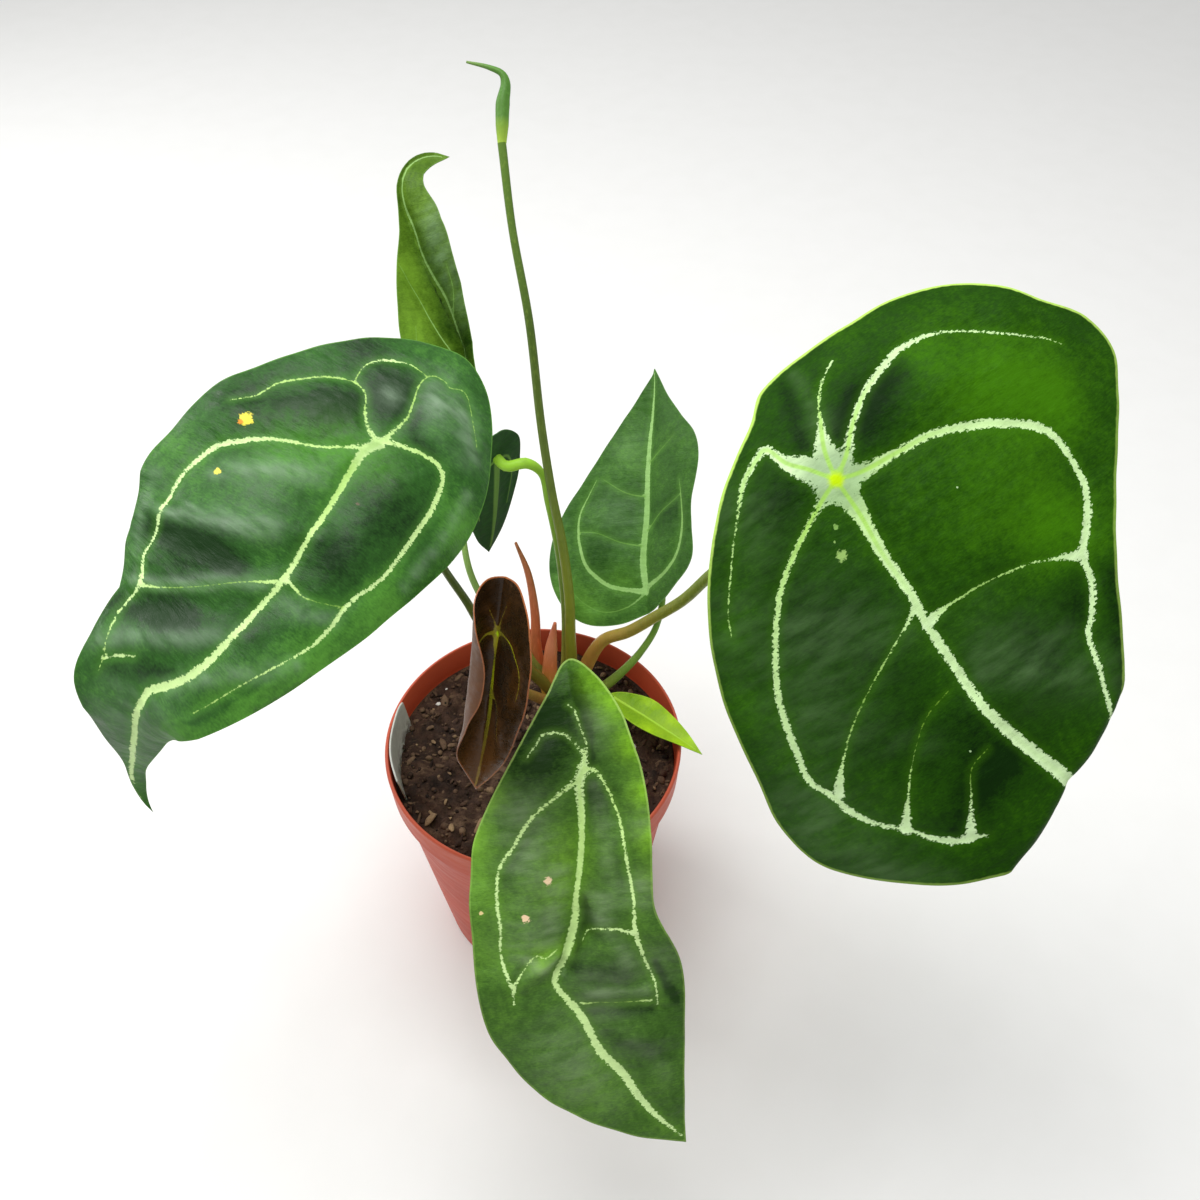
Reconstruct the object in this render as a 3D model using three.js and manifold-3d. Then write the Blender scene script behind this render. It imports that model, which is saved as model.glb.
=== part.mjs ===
// A young velvet-leaved house plant in its nursery pot: blades held like shields on thin stalks, the stalks
// rising from a short crown in the potting mix, with one unopened flower on a long thin stalk.
// Millimetres, Z up. The pot stands on Z = 0 and the origin is the middle of its base.
import * as THREE from 'three';
import { mergeVertices } from 'three/addons/utils/BufferGeometryUtils.js';
import Module from 'manifold-3d';

const wasm = await Module();
wasm.setup();

// Driving dimensions of the pot
const RIM_RADIUS = 60;
const POT_HEIGHT = 118;
const BASE_RADIUS = 44.5;
const WALL = 1.5;
const FLOOR = 2.5;
const LIP_DEPTH = 14;
const LIP_STEP = 2.4;
const POT_SIDES = 36;
const DRAIN_HOLES = 8;
const DRAIN_HOLE_RADIUS = 3;
const DRAIN_RING_RADIUS = 27;

// Potting mix: its top, and how lumpy it is
const SOIL_TOP = 107;
const LUMP_HEIGHT = 1.4;
const SOIL_RINGS = 5;

// Where the stalks rise from
const CROWN = { x: 13, y: 27, bottom: 92, top: 121, radius: 9.5 };

// A blank plant label pushed down inside the wall
const LABEL = { from: 163, to: 203, bottom: 96, top: 122, bottomRadius: 54.2, topRadius: 57.6, thickness: 0.8 };

// Touching pieces keep this gap, and a blade is this thick
const GAP = 0.3;
const BLADE = 0.9;

// A blade is laid out flat as [along, across] in millimetres from where its stalk meets it: along its axis
// towards the tip, and across to its left. It is then bent. heading is its axis's direction in degrees
// anticlockwise from +X, dip is how far that points below level, and roll is how far its left half is raised.
// A spine row is [along, droop, swerve] in degrees from there. A section row is [along, left fold,
// left curl, right fold, right curl]: degrees up at the midrib, and degrees up for each millimetre outward.
// left and right are its margins, from the rear to the tip. midrib is how far the rib strays across, as
// [along, across]. A dent is [along, across, reach, height]. tuck rolls the tip under, past a line that crosses
// the axis at from and is aslant by slant degrees. rows and columns, for each half, are how finely it is split.
const BLADES = {
  leaf_left_blade: {
    attach: [-33, -38, 304], heading: -119, dip: 15, roll: -16, rows: 24, columns: 4, color: 0x2e5f33,
    spine: [[-45, -20, 0], [0, 0, 0], [40, 5, -2], [60, 8, -12], [84, 14, -32], [92, 35, -24],
      [104, 68, 0], [126, 82, 4], [136, 66, 34], [148, 40, 76]],
    section: [[-50, -4, -1.3, 8, -0.45], [148, -4, -1.3, 8, -0.45]],
    left: [[-40, 0], [-38, 10], [-31, 20], [-14, 31], [6, 37], [27, 33], [47, 26.5], [63, 21.5], [85, 17],
      [107, 11], [124, 4], [136, 2], [147, 0]],
    right: [[-40, 0], [-35, -13], [-22, -27], [-7, -38], [7, -48], [24, -50], [37, -50], [58, -42],
      [72, -37], [84, -28], [92, -21.5], [99, -18], [107, -10], [122, -3], [136, -1.5], [147, 0]],
  },
  leaf_right_blade: {
    attach: [88, -56, 307], heading: -50, dip: 30, roll: 30, rows: 26, columns: 5, color: 0x1f4a1c,
    spine: [[-60, -45, 0], [-20, -18, 0], [0, 0, 0], [80, 8, 0], [98, 15, 0]],
    tuck: { from: 100, slant: 26.6, radius: 3, angle: 125 },
    section: [[0, 0, -0.3, 5, -0.6]],
    left: [[-33, 0], [-35.5, 21], [-36.5, 43], [-30, 63], [-14, 76], [0, 85], [12, 85.5], [24, 77], [41, 62],
      [58, 49], [76, 38], [90, 29], [104, 21], [120, 12], [136, 4]],
    right: [[-33, 0], [-25, -10], [-12, -29], [10, -48], [33, -59], [56, -64], [71, -67], [83, -65],
      [93, -57], [101, -45], [108, -32], [113, -18], [124, -5], [136, 4]],
  },
  leaf_front_blade: {
    attach: [22, -78, 209], heading: -79, dip: 37, roll: 0, rows: 24, columns: 5, color: 0x3f7040,
    spine: [[-45, -12, 0], [0, 0, 0], [60, 8, 0], [124, 20, 6]],
    midrib: [[-34, 0], [0, 0], [16, -3], [38, -8], [52, -12], [61, -17], [70, -13], [94, -2], [122, 12]],
    section: [[-60, 36, -0.4, 14, -0.9], [20, 34, -0.4, 12, -0.9], [50, 24, -0.4, 8, -0.8],
      [65, 12, -0.4, 4, -0.6], [124, 4, -0.2, 0, -0.3]],
    left: [[-34, 0], [-29, 8], [-14, 16], [4, 19], [20, 19], [33, 17], [43, 16], [53, 19], [63, 21],
      [78, 20], [104, 16], [124, 13]],
    right: [[-34, 0], [-24, -8], [-11, -18], [4, -29], [16, -36], [32, -40], [46, -41], [60, -41.5],
      [76, -39.5], [92, -31], [104, -20], [116, -3], [124, 13]],
    dents: [[14, -40, 13, -6]],
  },
  leaf_young_blade: {
    attach: [-2, -64, 256], heading: -105, dip: 58, roll: 0, rows: 16, columns: 8, color: 0x2a1a10,
    spine: [[-45, 0, 0], [0, 0, 0], [36, -5, 0], [80, -10, -10]],
    section: [[-20, 45, 0.3, 30, 5.5], [8, 45, 0.3, 20, 7.5], [28, 42, 0.3, 22, 7.5], [47, 40, 0.3, 40, 4]],
    left: [[-17, 0], [-17, 8], [-13, 14], [-7, 19], [4, 22], [16, 21], [24, 18], [34, 13], [41, 7], [48, 0]],
    right: [[-17, 0], [-16, -6], [-11, -12], [-4, -17], [5, -20], [16, -20], [25, -16], [35, -11],
      [42, -5], [48, 0]],
  },
  leaf_back_blade: {
    attach: [46, 37, 166], heading: 89, dip: -38, roll: -28, rows: 16, columns: 4, color: 0x4a7d48,
    spine: [[-45, -15, 0], [0, 0, 0], [86, 5, 0]],
    section: [[-20, 10, -0.3, 36, -0.5], [86, 10, -0.3, 30, -0.4]],
    left: [[-9, 0], [-13, 12], [-13, 25], [-8, 35], [4, 43], [19, 44], [32, 39], [47, 28], [65, 16],
      [78, 7], [91, -1]],
    right: [[-9, 0], [-6, -8], [2, -20], [11, -28], [23, -27], [34, -27], [48, -30], [59, -27],
      [68, -19], [79, -9], [91, -1]],
  },
  leaf_upright_blade: {
    attach: [-22, 68, 225], heading: 106, dip: -48, roll: 0, rows: 20, columns: 4, color: 0x5f9055,
    spine: [[-45, 0, 0], [60, 0, 2], [86, -5, 0], [94, 0, -50], [101, 0, -84], [112, 6, -88]],
    midrib: [[-20, 0], [0, -2], [29, -4], [43, 0], [55, 3], [69, 5], [83, 7], [92, 7], [99, 4], [105, 2]],
    section: [[-30, 45, -0.2, 84, -0.2], [20, 45, -0.2, 80, -0.2], [50, 45, -0.2, 62, -0.2],
      [74, 45, -0.2, 60, -0.2], [92, 30, 0, 40, 0], [105, 10, 0, 10, 0]],
    left: [[-20, 0], [-17, 9], [-8, 18], [6, 24], [20, 28], [36, 27], [46, 24.5], [57, 20.5], [70, 14.5],
      [81, 10], [89, 9], [96, 7], [105, 2]],
    right: [[-20, 0], [-17, -5], [-8, -9], [6, -11], [20, -12], [35, -13.5], [47, -14], [60, -14.5],
      [70, -13.5], [79, -10], [87, -5], [96, -1], [105, 2]],
  },
  leaf_small_blade: {
    attach: [-10, 39, 233.5], heading: 90, dip: 75, roll: -45, rows: 12, columns: 3, color: 0x2f5f3a,
    spine: [[-45, 0, 8], [30, 0, 8], [64, 0, 20]],
    section: [[-20, 8, 0, 8, 0], [64, 8, 0, 8, 0]],
    left: [[-13, 0], [-10, 6], [-2, 12], [9, 14], [22, 14], [36, 10], [47, 6], [56, 0]],
    right: [[-13, 0], [-10, -6], [-2, -12], [9, -14], [22, -14], [36, -10], [47, -6], [56, 0]],
  },
  leaf_lime_blade: {
    attach: [34, 17, 122], heading: -38, dip: -2, roll: 0, rows: 10, columns: 2, color: 0x8fc21f,
    spine: [[-10, 0, 0], [0, 0, 0], [40, 8, 0]],
    section: [[-10, 18, -0.8, 18, -0.8], [40, 10, -0.5, 10, -0.5]],
    left: [[-4, 0], [-3, 2], [2, 5], [12, 8], [22, 7], [33, 4], [43, 0]],
    right: [[-4, 0], [-3, -2], [2, -5], [12, -7], [22, -6], [33, -3], [43, 0]],
  },
};

// Stalks, from the crown outward: points by hand, and a radius at each. blade names the blade that it carries,
// and its last two points are then worked out: one hinge below the blade, and one just under it.
const STALKS = {
  flower_stalk: {
    color: 0x55702a, sides: 7,
    points: [[13, 28, 112], [15, 30, 130], [15, 30, 147], [15, 30, 169], [12.8, 31, 199], [9.8, 32, 222],
      [6.8, 34, 253], [3.8, 44, 288], [-1.2, 60, 312], [-4, 74, 332]],
    radii: [2.6, 2.4, 2.2, 2, 1.8, 1.6, 1.5, 1.4, 1.3, 1.4],
  },
  leaf_left_stalk: {
    blade: 'leaf_left_blade', hinge: 14, color: 0x4d5a20, sides: 7,
    points: [[10, 26, 112], [3, 22, 128], [-5, 16, 148], [-15, 5, 177], [-20, -4, 205], [-24, -17, 235],
      [-29, -26, 266]],
    radii: [3, 2.6, 2.2, 1.8, 1.5, 1.3, 1.2, 1.3, 1.6],
  },
  leaf_right_stalk: {
    blade: 'leaf_right_blade', hinge: 14, color: 0x6b6f24, sides: 8,
    points: [[16, 28, 113], [21, 28, 130], [28, 23, 152], [38, 14, 168], [47, 6, 185], [56, -4, 205],
      [64, -15, 230], [77, -30, 264]],
    radii: [3.4, 3, 2.5, 2.3, 2.1, 2, 1.9, 1.8, 1.9, 2],
  },
  leaf_front_stalk: {
    blade: 'leaf_front_blade', hinge: 14, color: 0x6b6f24, sides: 7,
    points: [[13, 23, 112], [16, 8, 127], [18, -16, 148], [19, -42, 170]],
    radii: [3, 2.6, 2, 1.8, 1.7, 1.8],
  },
  leaf_young_stalk: {
    blade: 'leaf_young_blade', hinge: 10, color: 0x8a7a2a, sides: 6,
    points: [[9, 22, 112], [2, 14, 127], [-3, -3, 154], [-4, -26, 196], [-3, -43, 232]],
    radii: [2.6, 2.2, 1.6, 1.3, 1.2, 1.2, 1.2],
  },
  leaf_back_stalk: {
    blade: 'leaf_back_blade', hinge: 9, color: 0x66802a, sides: 6,
    points: [[18, 26, 112], [27, 25, 119], [36, 26, 129], [44, 29, 139], [50, 34, 149]],
    radii: [2.6, 2.3, 1.8, 1.5, 1.3, 1.3, 1.3],
  },
  leaf_upright_stalk: {
    blade: 'leaf_upright_blade', hinge: 9, color: 0x7fa048, sides: 6,
    points: [[9, 30, 112], [2, 29, 128], [-12, 31, 151], [-21, 35, 168], [-25, 40, 181], [-27, 56, 199],
      [-26, 68, 211]],
    radii: [2.6, 2.2, 1.7, 1.4, 1.3, 1.2, 1.2, 1.3, 1.4],
  },
  leaf_small_stalk: {
    blade: 'leaf_small_blade', hinge: 5, color: 0x8a9a30, sides: 6,
    points: [[12, 32, 113], [13, 36, 135], [13, 36, 160], [11, 37, 190], [8, 37, 214], [6, 37, 228],
      [1, 36, 233.5]],
    radii: [2.3, 2, 1.7, 1.5, 1.4, 1.5, 2, 2, 1.9],
  },
  leaf_lime_stalk: {
    color: 0x9fb83a, sides: 6,
    points: [[17, 24, 113], [23, 22, 117], [29, 20, 120.5]],
    radii: [2.2, 1.8, 1.4],
  },
  sheath_short: {
    color: 0xc8765a, sides: 8,
    points: [[8, 26, 112], [6, 26, 126], [7, 28, 142], [9, 29, 156]],
    radii: [4.2, 3.8, 3, 0.8],
  },
  sheath_long: {
    color: 0xb5684c, sides: 6,
    points: [[5, 29, 113], [1, 31, 137], [1, 33, 158], [-1, 35, 179], [-5, 36, 194]],
    radii: [3, 2.5, 2, 1.4, 0.6],
  },
};

// The furled flower: a slim spathe whose tip is drawn out and hooked over
const BUD = {
  points: [[-4.1, 74.25, 332.4], [-4, 78, 337], [-3.8, 83, 342], [-2.9, 87.5, 346.5], [-3.9, 89, 348.7],
    [-8, 90, 350.3], [-15, 90.5, 351.8]],
  radii: [1.4, 2.2, 2.4, 1.6, 1.1, 0.8, 0.4],
};

const radians = (degrees) => THREE.MathUtils.degToRad(degrees);

function solidOf(geometry) {
  // A closed mesh whose shared corners are merged
  const bare = geometry.clone();
  bare.deleteAttribute('normal');
  bare.deleteAttribute('uv');
  const merged = mergeVertices(bare, 1e-4);
  return new wasm.Manifold(new wasm.Mesh({
    numProp: 3,
    vertProperties: Float32Array.from(merged.attributes.position.array),
    triVerts: Uint32Array.from(merged.index.array),
  }));
}

function geometryOf(solid) {
  const mesh = solid.getMesh();
  return indexed(Array.from(mesh.vertProperties), Array.from(mesh.triVerts));
}

function indexed(positions, faces) {
  const geometry = new THREE.BufferGeometry();
  geometry.setAttribute('position', new THREE.Float32BufferAttribute(positions, 3));
  geometry.setIndex(faces);
  geometry.computeVertexNormals();
  return geometry;
}

function largestBody(solid) {
  // A cut can leave a scrap beside the piece, which is dropped
  return solid.decompose().reduce((best, piece) => (piece.volume() > best.volume() ? piece : best));
}

function rowValue(rows, along, column) {
  // Straight-line reading of one column of a table whose first column is the distance along
  const last = rows.length - 1;
  if (along <= rows[0][0]) return rows[0][column];
  if (along >= rows[last][0]) return rows[last][column];
  const next = rows.findIndex((row) => row[0] >= along);
  const share = (along - rows[next - 1][0]) / (rows[next][0] - rows[next - 1][0]);
  return THREE.MathUtils.lerp(rows[next - 1][column], rows[next][column], share);
}

// The bent surface of a blade: a function from [along, across] to a point in space
class BladeSurface {
  static STEP = 2;

  constructor(blade) {
    this.blade = blade;
    const [heading, dip, roll] = [blade.heading, blade.dip, blade.roll].map(radians);
    const along = new THREE.Vector3(Math.cos(dip) * Math.cos(heading), Math.cos(dip) * Math.sin(heading),
      -Math.sin(dip));
    const level = new THREE.Vector3(-Math.sin(heading), Math.cos(heading), 0);
    const left = level.clone().applyAxisAngle(along, roll);
    this.base = new THREE.Matrix4().makeBasis(along, left, along.clone().cross(left));
    this.attach = new THREE.Vector3(...blade.attach);
    this.forward = this.walk(1);
    this.backward = this.walk(-1);
  }

  turn(along) {
    const droop = radians(rowValue(this.blade.spine, along, 1));
    const swerve = radians(rowValue(this.blade.spine, along, 2));
    return new THREE.Matrix4().makeRotationZ(swerve).multiply(new THREE.Matrix4().makeRotationY(droop));
  }

  walk(side) {
    // Points along the axis a step apart, tip-ward for 1 and rear-ward for -1
    const reach = 200;
    const points = [new THREE.Vector3()];
    for (let i = 0; i < reach / BladeSurface.STEP; i++) {
      const middle = side * (i + 0.5) * BladeSurface.STEP;
      const step = new THREE.Vector3(side * BladeSurface.STEP, 0, 0).applyMatrix4(this.turn(middle));
      points.push(points[i].clone().add(step));
    }
    return points;
  }

  axis(along) {
    const points = along >= 0 ? this.forward : this.backward;
    const place = Math.abs(along) / BladeSurface.STEP;
    const i = Math.floor(place);
    return points[i].clone().lerp(points[i + 1], place - i);
  }

  sheet(along, across) {
    const { section, dents = [], midrib = [[0, 0]] } = this.blade;
    const rib = rowValue(midrib, along, 1);
    const column = across >= rib ? 1 : 3;
    const fold = radians(rowValue(section, along, column));
    const curl = radians(rowValue(section, along, column + 1));
    const width = Math.abs(across - rib);
    const flat = Math.abs(curl) < 1e-6;
    const out = flat ? width * Math.cos(fold) : (Math.sin(fold + curl * width) - Math.sin(fold)) / curl;
    let up = flat ? width * Math.sin(fold) : (Math.cos(fold) - Math.cos(fold + curl * width)) / curl;
    for (const [s, t, reach, height] of dents) {
      up += height * Math.exp(-((along - s) ** 2 + (across - t) ** 2) / reach ** 2);
    }
    const sideways = rib + Math.sign(across - rib) * out;
    const local = new THREE.Vector3(0, sideways, up).applyMatrix4(this.turn(along));
    return local.add(this.axis(along)).applyMatrix4(this.base).add(this.attach);
  }

  point(along, across) {
    const { tuck } = this.blade;
    if (!tuck) return this.sheet(along, across);
    const [cos, sin] = [Math.cos(radians(tuck.slant)), Math.sin(radians(tuck.slant))];
    const past = (along - tuck.from) * cos + across * sin;
    if (past <= 0) return this.sheet(along, across);
    const turned = Math.min(past / tuck.radius, radians(tuck.angle));
    const straight = past - turned * tuck.radius;
    const onward = tuck.radius * Math.sin(turned) + straight * Math.cos(turned);
    const down = tuck.radius * (1 - Math.cos(turned)) + straight * Math.sin(turned);
    const [s, t] = [along + (onward - past) * cos, across + (onward - past) * sin];
    return this.sheet(s, t).addScaledVector(this.facing(this.sheet, s, t), -down);
  }

  normal(along, across) {
    return this.facing(this.point, along, across);
  }

  facing(place, along, across) {
    const reach = 0.5;
    const at = (s, t) => place.call(this, s, t);
    const ahead = at(along + reach, across).sub(at(along - reach, across));
    const leftward = at(along, across + reach).sub(at(along, across - reach));
    return ahead.cross(leftward).normalize();
  }
}

function marginPoints(list, count) {
  // Evenly spaced places along a smooth margin
  const curve = new THREE.CatmullRomCurve3(list.map(([s, t]) => new THREE.Vector3(s, t, 0)), false,
    'catmullrom', 0.5);
  return curve.getSpacedPoints(count);
}

function bladeGeometry(blade) {
  // Rows run from margin to margin, the same split on both faces, with one row of faces round the edge
  const surface = new BladeSurface(blade);
  const { rows, columns, midrib = [[0, 0]] } = blade;
  const left = marginPoints(blade.left, rows);
  const right = marginPoints(blade.right, rows);
  const places = [];
  const rowStart = (i) => (i === 0 ? 0 : 1 + (i - 1) * (2 * columns + 1));
  places.push([left[0].x, left[0].y]);
  for (let i = 1; i < rows; i++) {
    const middle = (left[i].x + right[i].x) / 2;
    const rib = rowValue(midrib, middle, 1);
    for (let j = 0; j <= 2 * columns; j++) {
      const margin = j < columns ? left[i] : right[i];
      const share = Math.abs(j - columns) / columns;
      places.push([THREE.MathUtils.lerp(middle, margin.x, share), THREE.MathUtils.lerp(rib, margin.y, share)]);
    }
  }
  places.push([left[rows].x, left[rows].y]);
  const count = places.length;
  const tip = count - 1;

  const positions = [];
  for (const side of [0.5, -0.5]) {
    for (const [s, t] of places) {
      positions.push(...surface.point(s, t).addScaledVector(surface.normal(s, t), side * BLADE));
    }
  }
  const top = [];
  for (let j = 0; j < 2 * columns; j++) {
    top.push([0, 1 + j + 1, 1 + j]);
    top.push([tip, rowStart(rows - 1) + j, rowStart(rows - 1) + j + 1]);
    for (let i = 1; i < rows - 1; i++) {
      const [a, b] = [rowStart(i) + j, rowStart(i + 1) + j];
      top.push(j < columns ? [a, a + 1, b] : [a, a + 1, b + 1]);
      top.push(j < columns ? [a + 1, b + 1, b] : [a, b + 1, b]);
    }
  }
  const edge = [0];
  for (let i = 1; i < rows; i++) edge.push(rowStart(i) + 2 * columns);
  edge.push(tip);
  for (let i = rows - 1; i > 0; i--) edge.push(rowStart(i));
  const faces = [];
  for (const [a, b, c] of top) faces.push(a, b, c, a + count, c + count, b + count);
  edge.forEach((a, i) => {
    const b = edge[(i + 1) % edge.length];
    faces.push(b, a, a + count, b, a + count, b + count);
  });
  return indexed(positions, faces);
}

function tubeGeometry(points, radii, sides) {
  // A tube through the points, its radius eased from one to the next, with both ends closed
  const curve = new THREE.CatmullRomCurve3(points.map((p) => new THREE.Vector3(...p)), false, 'centripetal');
  const steps = 2 * (points.length - 1);
  const positions = [];
  let side = new THREE.Vector3(0.6, -0.8, 0);
  for (let i = 0; i <= steps; i++) {
    const middle = curve.getPoint(i / steps);
    const ahead = curve.getTangent(i / steps);
    side = side.addScaledVector(ahead, -side.dot(ahead)).normalize();
    const radius = rowValue(radii.map((value, k) => [2 * k, value]), i, 1);
    for (let k = 0; k < sides; k++) {
      const offset = side.clone().applyAxisAngle(ahead, (2 * Math.PI * k) / sides);
      positions.push(...middle.clone().addScaledVector(offset, radius));
    }
  }
  const end = steps * sides;
  const faces = [];
  for (let i = 0; i < steps; i++) {
    for (let k = 0; k < sides; k++) {
      const next = (k + 1) % sides;
      const [a, b] = [i * sides + k, i * sides + next];
      faces.push(a, b, b + sides, a, b + sides, a + sides);
    }
  }
  for (let k = 1; k < sides - 1; k++) faces.push(0, k + 1, k, end, end + k, end + k + 1);
  return indexed(positions, faces);
}

function latheGeometry(profile, sides) {
  // Profile points are [radius, height], turned round the Z axis
  const points = profile.map(([radius, height]) => new THREE.Vector2(radius, height));
  return new THREE.LatheGeometry(points, sides).rotateX(Math.PI / 2);
}

// Inside of the tapered wall at a height, below the lip
const LIP_BOTTOM = POT_HEIGHT - LIP_DEPTH;
const BODY_TOP_RADIUS = RIM_RADIUS - LIP_STEP - 0.6;
const outerRadius = (z) => BASE_RADIUS + ((BODY_TOP_RADIUS - BASE_RADIUS) * z) / LIP_BOTTOM;

function makePot() {
  const inner = [
    [0, FLOOR], [outerRadius(FLOOR) - WALL, FLOOR], [outerRadius(LIP_BOTTOM) - WALL, LIP_BOTTOM - 1],
    [RIM_RADIUS - 0.7 - WALL, LIP_BOTTOM + 1.5], [RIM_RADIUS - WALL, POT_HEIGHT - 0.6],
    [RIM_RADIUS - WALL + 0.5, POT_HEIGHT],
  ];
  const outer = [
    [RIM_RADIUS - 0.4, POT_HEIGHT], [RIM_RADIUS, POT_HEIGHT - 0.6], [RIM_RADIUS - 0.7, LIP_BOTTOM],
    [BODY_TOP_RADIUS, LIP_BOTTOM], [BASE_RADIUS, 1], [BASE_RADIUS - 1, 0], [0, 0],
  ];
  let pot = solidOf(latheGeometry([...inner, ...outer].reverse(), POT_SIDES));
  for (let i = 0; i < DRAIN_HOLES; i++) {
    const angle = (2 * Math.PI * i) / DRAIN_HOLES;
    const hole = new THREE.CylinderGeometry(DRAIN_HOLE_RADIUS, DRAIN_HOLE_RADIUS, 4 * FLOOR, 12);
    hole.rotateX(Math.PI / 2);
    hole.translate(DRAIN_RING_RADIUS * Math.cos(angle), DRAIN_RING_RADIUS * Math.sin(angle), FLOOR / 2);
    pot = pot.subtract(solidOf(hole));
  }
  return pot;
}

function soilHeight(x, y) {
  const lumps = Math.sin(0.21 * x + 1.3) * Math.cos(0.17 * y) + 0.6 * Math.sin(0.43 * x - 0.37 * y + 2);
  return SOIL_TOP + LUMP_HEIGHT * lumps * 0.6;
}

function makeSoil() {
  // Lumpy on top, and just inside the pot all round
  const inset = WALL + GAP;
  const wall = [
    [RIM_RADIUS - 0.7 - inset, LIP_BOTTOM + 1.8], [outerRadius(LIP_BOTTOM) - inset - 0.3, LIP_BOTTOM - 1],
    [outerRadius(FLOOR) - inset, FLOOR + GAP],
  ];
  const rings = [];
  for (let i = 1; i <= SOIL_RINGS; i++) rings.push([(i / SOIL_RINGS) * (wall[0][0] - 0.05), null]);
  rings.push(...wall);
  const positions = [0, 0, soilHeight(0, 0)];
  for (const [radius, height] of rings) {
    for (let k = 0; k < POT_SIDES; k++) {
      const angle = (2 * Math.PI * k) / POT_SIDES;
      const [x, y] = [radius * Math.cos(angle), radius * Math.sin(angle)];
      positions.push(x, y, height ?? soilHeight(x, y));
    }
  }
  positions.push(0, 0, FLOOR + GAP);
  const bottom = 1 + rings.length * POT_SIDES;
  const faces = [];
  for (let k = 0; k < POT_SIDES; k++) {
    const next = (k + 1) % POT_SIDES;
    faces.push(0, 1 + k, 1 + next);
    for (let i = 0; i < rings.length - 1; i++) {
      const [a, b] = [1 + i * POT_SIDES, 1 + (i + 1) * POT_SIDES];
      faces.push(a + k, b + k, b + next, a + k, b + next, a + next);
    }
    faces.push(bottom, bottom - POT_SIDES + next, bottom - POT_SIDES + k);
  }
  return solidOf(indexed(positions, faces));
}

function makeCrown(extra) {
  const { bottom, top, radius } = CROWN;
  const profile = [
    [0, bottom - extra], [radius * 0.7 + extra, bottom - extra], [radius + extra, bottom + 6],
    [radius + extra, top - 13], [radius * 0.8 + extra, top - 5], [radius * 0.4 + extra, top + extra],
    [0, top + extra],
  ];
  return solidOf(latheGeometry(profile, 16).translate(CROWN.x, CROWN.y, 0));
}

function makeLabel(extra) {
  // A curved strip, leaning out with the wall
  const { from, to, bottom, top, bottomRadius, topRadius, thickness } = LABEL;
  const steps = 8;
  const positions = [];
  for (let i = 0; i <= steps; i++) {
    const edge = extra / topRadius;
    const angle = THREE.MathUtils.lerp(radians(from) - edge, radians(to) + edge, i / steps);
    const corners = [
      [bottomRadius + extra, bottom - extra], [topRadius + extra, top + extra],
      [topRadius - thickness - extra, top + extra], [bottomRadius - thickness - extra, bottom - extra],
    ];
    for (const [radius, height] of corners) {
      positions.push(radius * Math.cos(angle), radius * Math.sin(angle), height);
    }
  }
  const faces = [];
  for (let i = 0; i < steps; i++) {
    for (let k = 0; k < 4; k++) {
      const [a, b] = [4 * i + k, 4 * i + ((k + 1) % 4)];
      faces.push(a, a + 4, b + 4, a, b + 4, b);
    }
  }
  const last = 4 * steps;
  faces.push(0, 1, 2, 0, 2, 3, last, last + 2, last + 1, last, last + 3, last + 2);
  return solidOf(indexed(positions, faces));
}

function stalkPoints(stalk) {
  // A stalk that carries a blade ends just under it, square to its underside
  if (!stalk.blade) return stalk.points;
  const surface = new BladeSurface(BLADES[stalk.blade]);
  const down = surface.normal(0, 0).negate();
  const under = (distance) => surface.attach.clone().addScaledVector(down, distance).toArray();
  return [...stalk.points, under(stalk.hinge), under(BLADE / 2 + GAP + 0.1)];
}

const makeStalk = (stalk, extra) => solidOf(tubeGeometry(
  stalkPoints(stalk), stalk.radii.map((radius) => radius + extra), stalk.sides));

function material(color, roughness) {
  return new THREE.MeshStandardMaterial({ color, roughness, metalness: 0, side: THREE.FrontSide });
}

const plant = new THREE.Group();

function add(name, geometry, color, roughness) {
  const mesh = new THREE.Mesh(geometry, material(color, roughness));
  mesh.name = name;
  plant.add(mesh);
}

// Each stalk gives way to the crown and to the stalks before it, and the mix gives way to them all
let taken = makeCrown(GAP);
const stalks = new Map();
for (const [name, stalk] of Object.entries(STALKS)) {
  stalks.set(name, largestBody(makeStalk(stalk, 0).subtract(taken)));
  taken = taken.add(makeStalk(stalk, GAP));
}
const soil = largestBody(makeSoil().subtract(taken).subtract(makeLabel(GAP)));

add('pot', geometryOf(makePot()), 0xb9533c, 0.55);
add('soil', geometryOf(soil), 0x4b372d, 0.95);
add('label', geometryOf(makeLabel(0)), 0xe6e8e2, 0.6);
add('crown', geometryOf(makeCrown(0)), 0x6e5a34, 0.8);
for (const [name, stalk] of stalks) add(name, geometryOf(stalk), STALKS[name].color, 0.5);
for (const [name, blade] of Object.entries(BLADES)) add(name, bladeGeometry(blade), blade.color, 0.6);
add('flower_bud', tubeGeometry(BUD.points, BUD.radii, 8), 0x4f7f2e, 0.5);

export default plant;
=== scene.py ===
# A young velvet-leaved house plant in its nursery pot: finely modelled blades, stalks, flower, pot and
# potting mix, each made around the solid that it stands for. Sizes of the blades are in millimetres.
import math

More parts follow.
